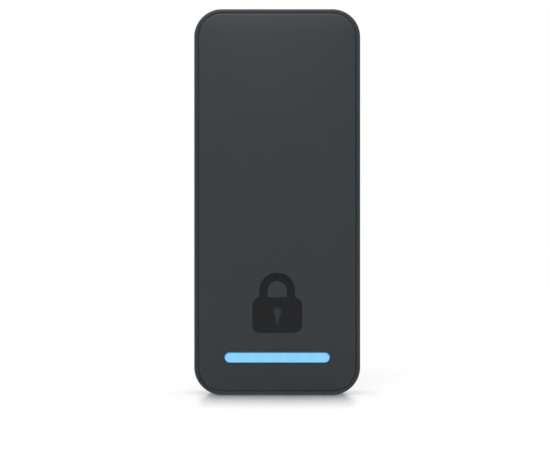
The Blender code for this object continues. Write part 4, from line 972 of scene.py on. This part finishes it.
def studio():
    scene = bpy.context.scene
    scene.view_settings.view_transform = "Standard"
    world = bpy.data.worlds.new("studio")
    scene.world = world
    world.use_nodes = True
    tree = world.node_tree
    background = tree.nodes["Background"]
    direction = tree.nodes.new("ShaderNodeTexCoord")
    split = tree.nodes.new("ShaderNodeSeparateXYZ")
    tree.links.new(direction.outputs["Generated"], split.inputs[0])
    backdrop = tree.nodes.new("ShaderNodeMapRange")
    tree.links.new(split.outputs["Y"], backdrop.inputs["Value"])
    backdrop.inputs["From Min"].default_value = GLOW_FROM
    backdrop.inputs["From Max"].default_value = GLOW_TO
    backdrop.inputs["To Min"].default_value = FRONT_GLOW
    backdrop.inputs["To Max"].default_value = 1.0
    seen = tree.nodes.new("ShaderNodeLightPath")
    strongest = tree.nodes.new("ShaderNodeMath")
    strongest.operation = "MAXIMUM"
    tree.links.new(seen.outputs["Is Camera Ray"], strongest.inputs[0])
    tree.links.new(backdrop.outputs["Result"], strongest.inputs[1])
    background.inputs["Color"].default_value = (1.0, 1.0, 1.0, 1.0)
    tree.links.new(strongest.outputs[0], background.inputs["Strength"])

    for name, place, target, size, power in LAMPS:
        lamp = bpy.data.lights.new(name, "AREA")
        lamp.size = size
        lamp.energy = power
        holder = bpy.data.objects.new(name, lamp)
        holder.location = place
        holder.rotation_euler = (Vector(target) - Vector(place)).to_track_quat("-Z", "Y").to_euler()
        scene.collection.objects.link(holder)

    camera = bpy.data.objects.new("camera", bpy.data.cameras.new("camera"))
    camera.location = CAMERA_AT
    camera.rotation_euler = (math.radians(90), 0, 0)
    camera.data.sensor_width = SENSOR * 1000
    camera.data.lens = SENSOR * 1000 * CAMERA_DISTANCE / VIEW_WIDTH
    scene.collection.objects.link(camera)
    scene.camera = camera

    bm = bmesh.new()
    bmesh.ops.create_grid(bm, x_segments=1, y_segments=1, size=FLOOR_SIZE)
    finished("floor", bm, floor_finish())


def floor_finish():
    """White board, glossy round the foot of the object, and painted greyer there as a shadow. It can be seen
    through from below, and lets the light of the room through to the underside that stands on it."""
    finish = Finish("floor_white", roughness=1.0, Specular_IOR_Level=0.0)
    beside = finish.maths("MAXIMUM", abs(finish.x) - 16.0 * MM, 0.0)
    ahead = finish.maths("MAXIMUM", abs(finish.y) - BACK, 0.0)
    distance = (beside ** 2.0 + ahead ** 2.0) ** 0.5
    # Painted shadow: the board is greyer near the object's foot and whiter further away.
    beyond_painted_shadow = finish.above(distance, 0.22, 0.16)
    cloud = finish.noise(0.25, 2.0)
    board_with_painted_shadow = finish.mix(beyond_painted_shadow, (0.920, 0.920, 0.920), (0.990, 0.990, 0.990))
    finish.colour(finish.mix(cloud * 0.2, board_with_painted_shadow, (0.95, 0.95, 0.95)))
    gloss = finish.node("ShaderNodeBsdfGlossy", Color=(1.0, 1.0, 1.0, 1.0), Roughness=0.16)
    polish = finish.maths("EXPONENT", distance * (-1 / GLOSS_REACH)) * FLOOR_GLOSS
    board = finish.blend(polish, finish.shader.outputs[0], gloss.socket)
    clear = finish.node("ShaderNodeBsdfTransparent")
    below = finish.node("ShaderNodeNewGeometry", output="Backfacing")
    foot = finish.maths("MAXIMUM", abs(finish.x) - WIDTH / 2, abs(finish.y) - BACK)
    looked_at = finish.node("ShaderNodeLightPath", output="Is Camera Ray")
    under = (1 - finish.above(foot, -0.3 * MM, 0.3 * MM)) * (1 - looked_at)
    seen = finish.blend(finish.maths("MAXIMUM", below, under), board.socket, clear.socket)
    finish.tree.links.new(seen.socket, finish.tree.nodes["Material Output"].inputs["Surface"])
    return finish.material


# Assembly

FINISHES = {
    "housing_plastic": moulded_plastic("case_plastic", (0.0270, 0.0310, 0.0350), 0.46),
    "cover_plastic": moulded_plastic("cover_plastic", (0.0240, 0.0275, 0.0310), 0.55),
    "panel_plastic": panel_paint(),
    "symbol_gloss": symbol_gloss(),
    "light_guide": lit_diffuser(),
    "seal_rubber": seal_rubber(),
    "label_film": printed_label(),
    "circuit_board": circuit_board(),
    "copper_trace": sheet_metal("contact_metal", (0.86, 0.62, 0.28), 0.26),
    "ferrite": ferrite_sheet(),
    "chip_black": plain_plastic("chip_resin", (0.018, 0.018, 0.019), 0.46),
    "jack_plastic": plain_plastic("jack_plastic", (0.022, 0.022, 0.024), 0.42),
    "tinned_steel": sheet_metal("tinned_steel", (0.68, 0.68, 0.66), 0.28),
    "transformer_tape": wound_tape(),
    "capacitor_can": sheet_metal("capacitor_can", (0.74, 0.74, 0.75), 0.32, (1.0, 0.05, 1.0)),
    "led_white": plain_plastic("lamp_resin", (0.84, 0.83, 0.74), 0.30),
    "ribbon_film": plain_plastic("ribbon_film", (0.72, 0.71, 0.66), 0.36),
    "button_plastic": plain_plastic("button_plastic", (0.16, 0.16, 0.17), 0.44),
    "screw_steel": sheet_metal("screw_steel", (0.56, 0.56, 0.57), 0.30, (1.0, 1.0, 0.1)),
    "spring_steel": sheet_metal("spring_steel", (0.60, 0.60, 0.61), 0.24, (1.0, 0.1, 1.0)),
    "nut_steel": sheet_metal("nut_steel", (0.62, 0.60, 0.54), 0.30, (1.0, 1.0, 0.1)),
    "bracket_steel": sheet_metal("bracket_zinc", (0.50, 0.51, 0.52), 0.36, (1.0, 1.0, 0.04), 1.0),
}


def fit(piece, body, slot, *nodes):
    """Gives a piece its finish and its body, and lets it stand for its CAD nodes."""
    piece.data.materials.clear()
    piece.data.materials.append(FINISHES[slot])
    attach(piece, body)
    if nodes:
        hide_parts(*nodes)


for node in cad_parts.values():
    node.data.materials[0] = FINISHES[node.data.materials[0].name]

fit(case_shell(), "reader", "housing_plastic", "front_housing")
fit(panel_piece(), "reader", "panel_plastic", "front_panel")
fit(symbol_piece(), "reader", "symbol_gloss", "symbol_inlay")
fit(bar_piece(), "reader", "light_guide", "light_bar")
fit(rear_shell(), "reader", "cover_plastic", "rear_cover")
fit(wall_plate(), "bracket", "bracket_steel", "wall_bracket")
fit(nut_piece(), "bracket", "nut_steel", "clinch_nut")
fit(label_piece(), "reader", "label_film", "rating_label")
fit(vent_piece(), "reader", "seal_rubber", "vent_plug")
fit(jack_shell(), "reader", "jack_plastic", "jack_body")
fit(jack_contacts(), "reader", "copper_trace")
fit(button_piece("reset_cap", "reset_button", (5.0 * MM, 5.8 * MM), 1.4 * MM, 0.5 * MM), "button",
    "button_plastic", "reset_button")
fit(button_piece("tamper_pin", "tamper_plunger", (4.6 * MM, 5.2 * MM), 1.2 * MM, 0.7 * MM), "plunger",
    "button_plastic", "tamper_plunger")

# Packages on the boards: node, slot, corner radius, edge radius and whether it has a mark
for node, slot, corner, edge, marked in (
        ("processor", "chip_black", 0.15 * MM, 0.08 * MM, True),
        ("reader_chip", "chip_black", 0.12 * MM, 0.06 * MM, True),
        ("rf_shield_can", "tinned_steel", 0.45 * MM, 0.18 * MM, False),
        ("poe_transformer", "transformer_tape", 1.00 * MM, 0.35 * MM, False),
        ("antenna_header", "chip_black", 0.25 * MM, 0.10 * MM, False),
        ("ribbon_socket_lower", "chip_black", 0.20 * MM, 0.08 * MM, False),
        ("ribbon_socket_upper", "chip_black", 0.20 * MM, 0.08 * MM, False),
        *((f"led_{n}", "led_white", 0.22 * MM, 0.07 * MM, False) for n in range(1, 7))):
    fit(packaged_part(node, corner, edge, marked), "reader", slot, node)
fit(capacitor_can(), "reader", "capacitor_can", "bulk_capacitor")
fit(buzzer_case(), "reader", "chip_black", "buzzer")

# Screws of a kind: their nodes' name, number, shank radius, (head radius, head height), recess depth
for kind, number, *shape in (
        ("cover_screw", 6, 1.0 * MM, (1.9 * MM, 1.2 * MM), 0.8 * MM),
        ("board_screw", 4, 0.65 * MM, (1.4 * MM, 0.9 * MM), 0.6 * MM),
        ("led_board_screw", 2, 0.65 * MM, (1.4 * MM, 0.9 * MM), 0.6 * MM)):
    for n in range(1, number + 1):
        node = f"{kind}_{n}"
        screw, thread = threaded_screw(node, *shape)
        fit(screw, "reader", "screw_steel", node)
        fit(thread, "reader", "screw_steel")
screw, thread = threaded_screw("lock_screw", 1.5 * MM, (2.5 * MM, 2.0 * MM), 1.2 * MM, "Z", False)
fit(screw, "screw", "screw_steel", "lock_screw")
fit(thread, "screw", "screw_steel")

studio()
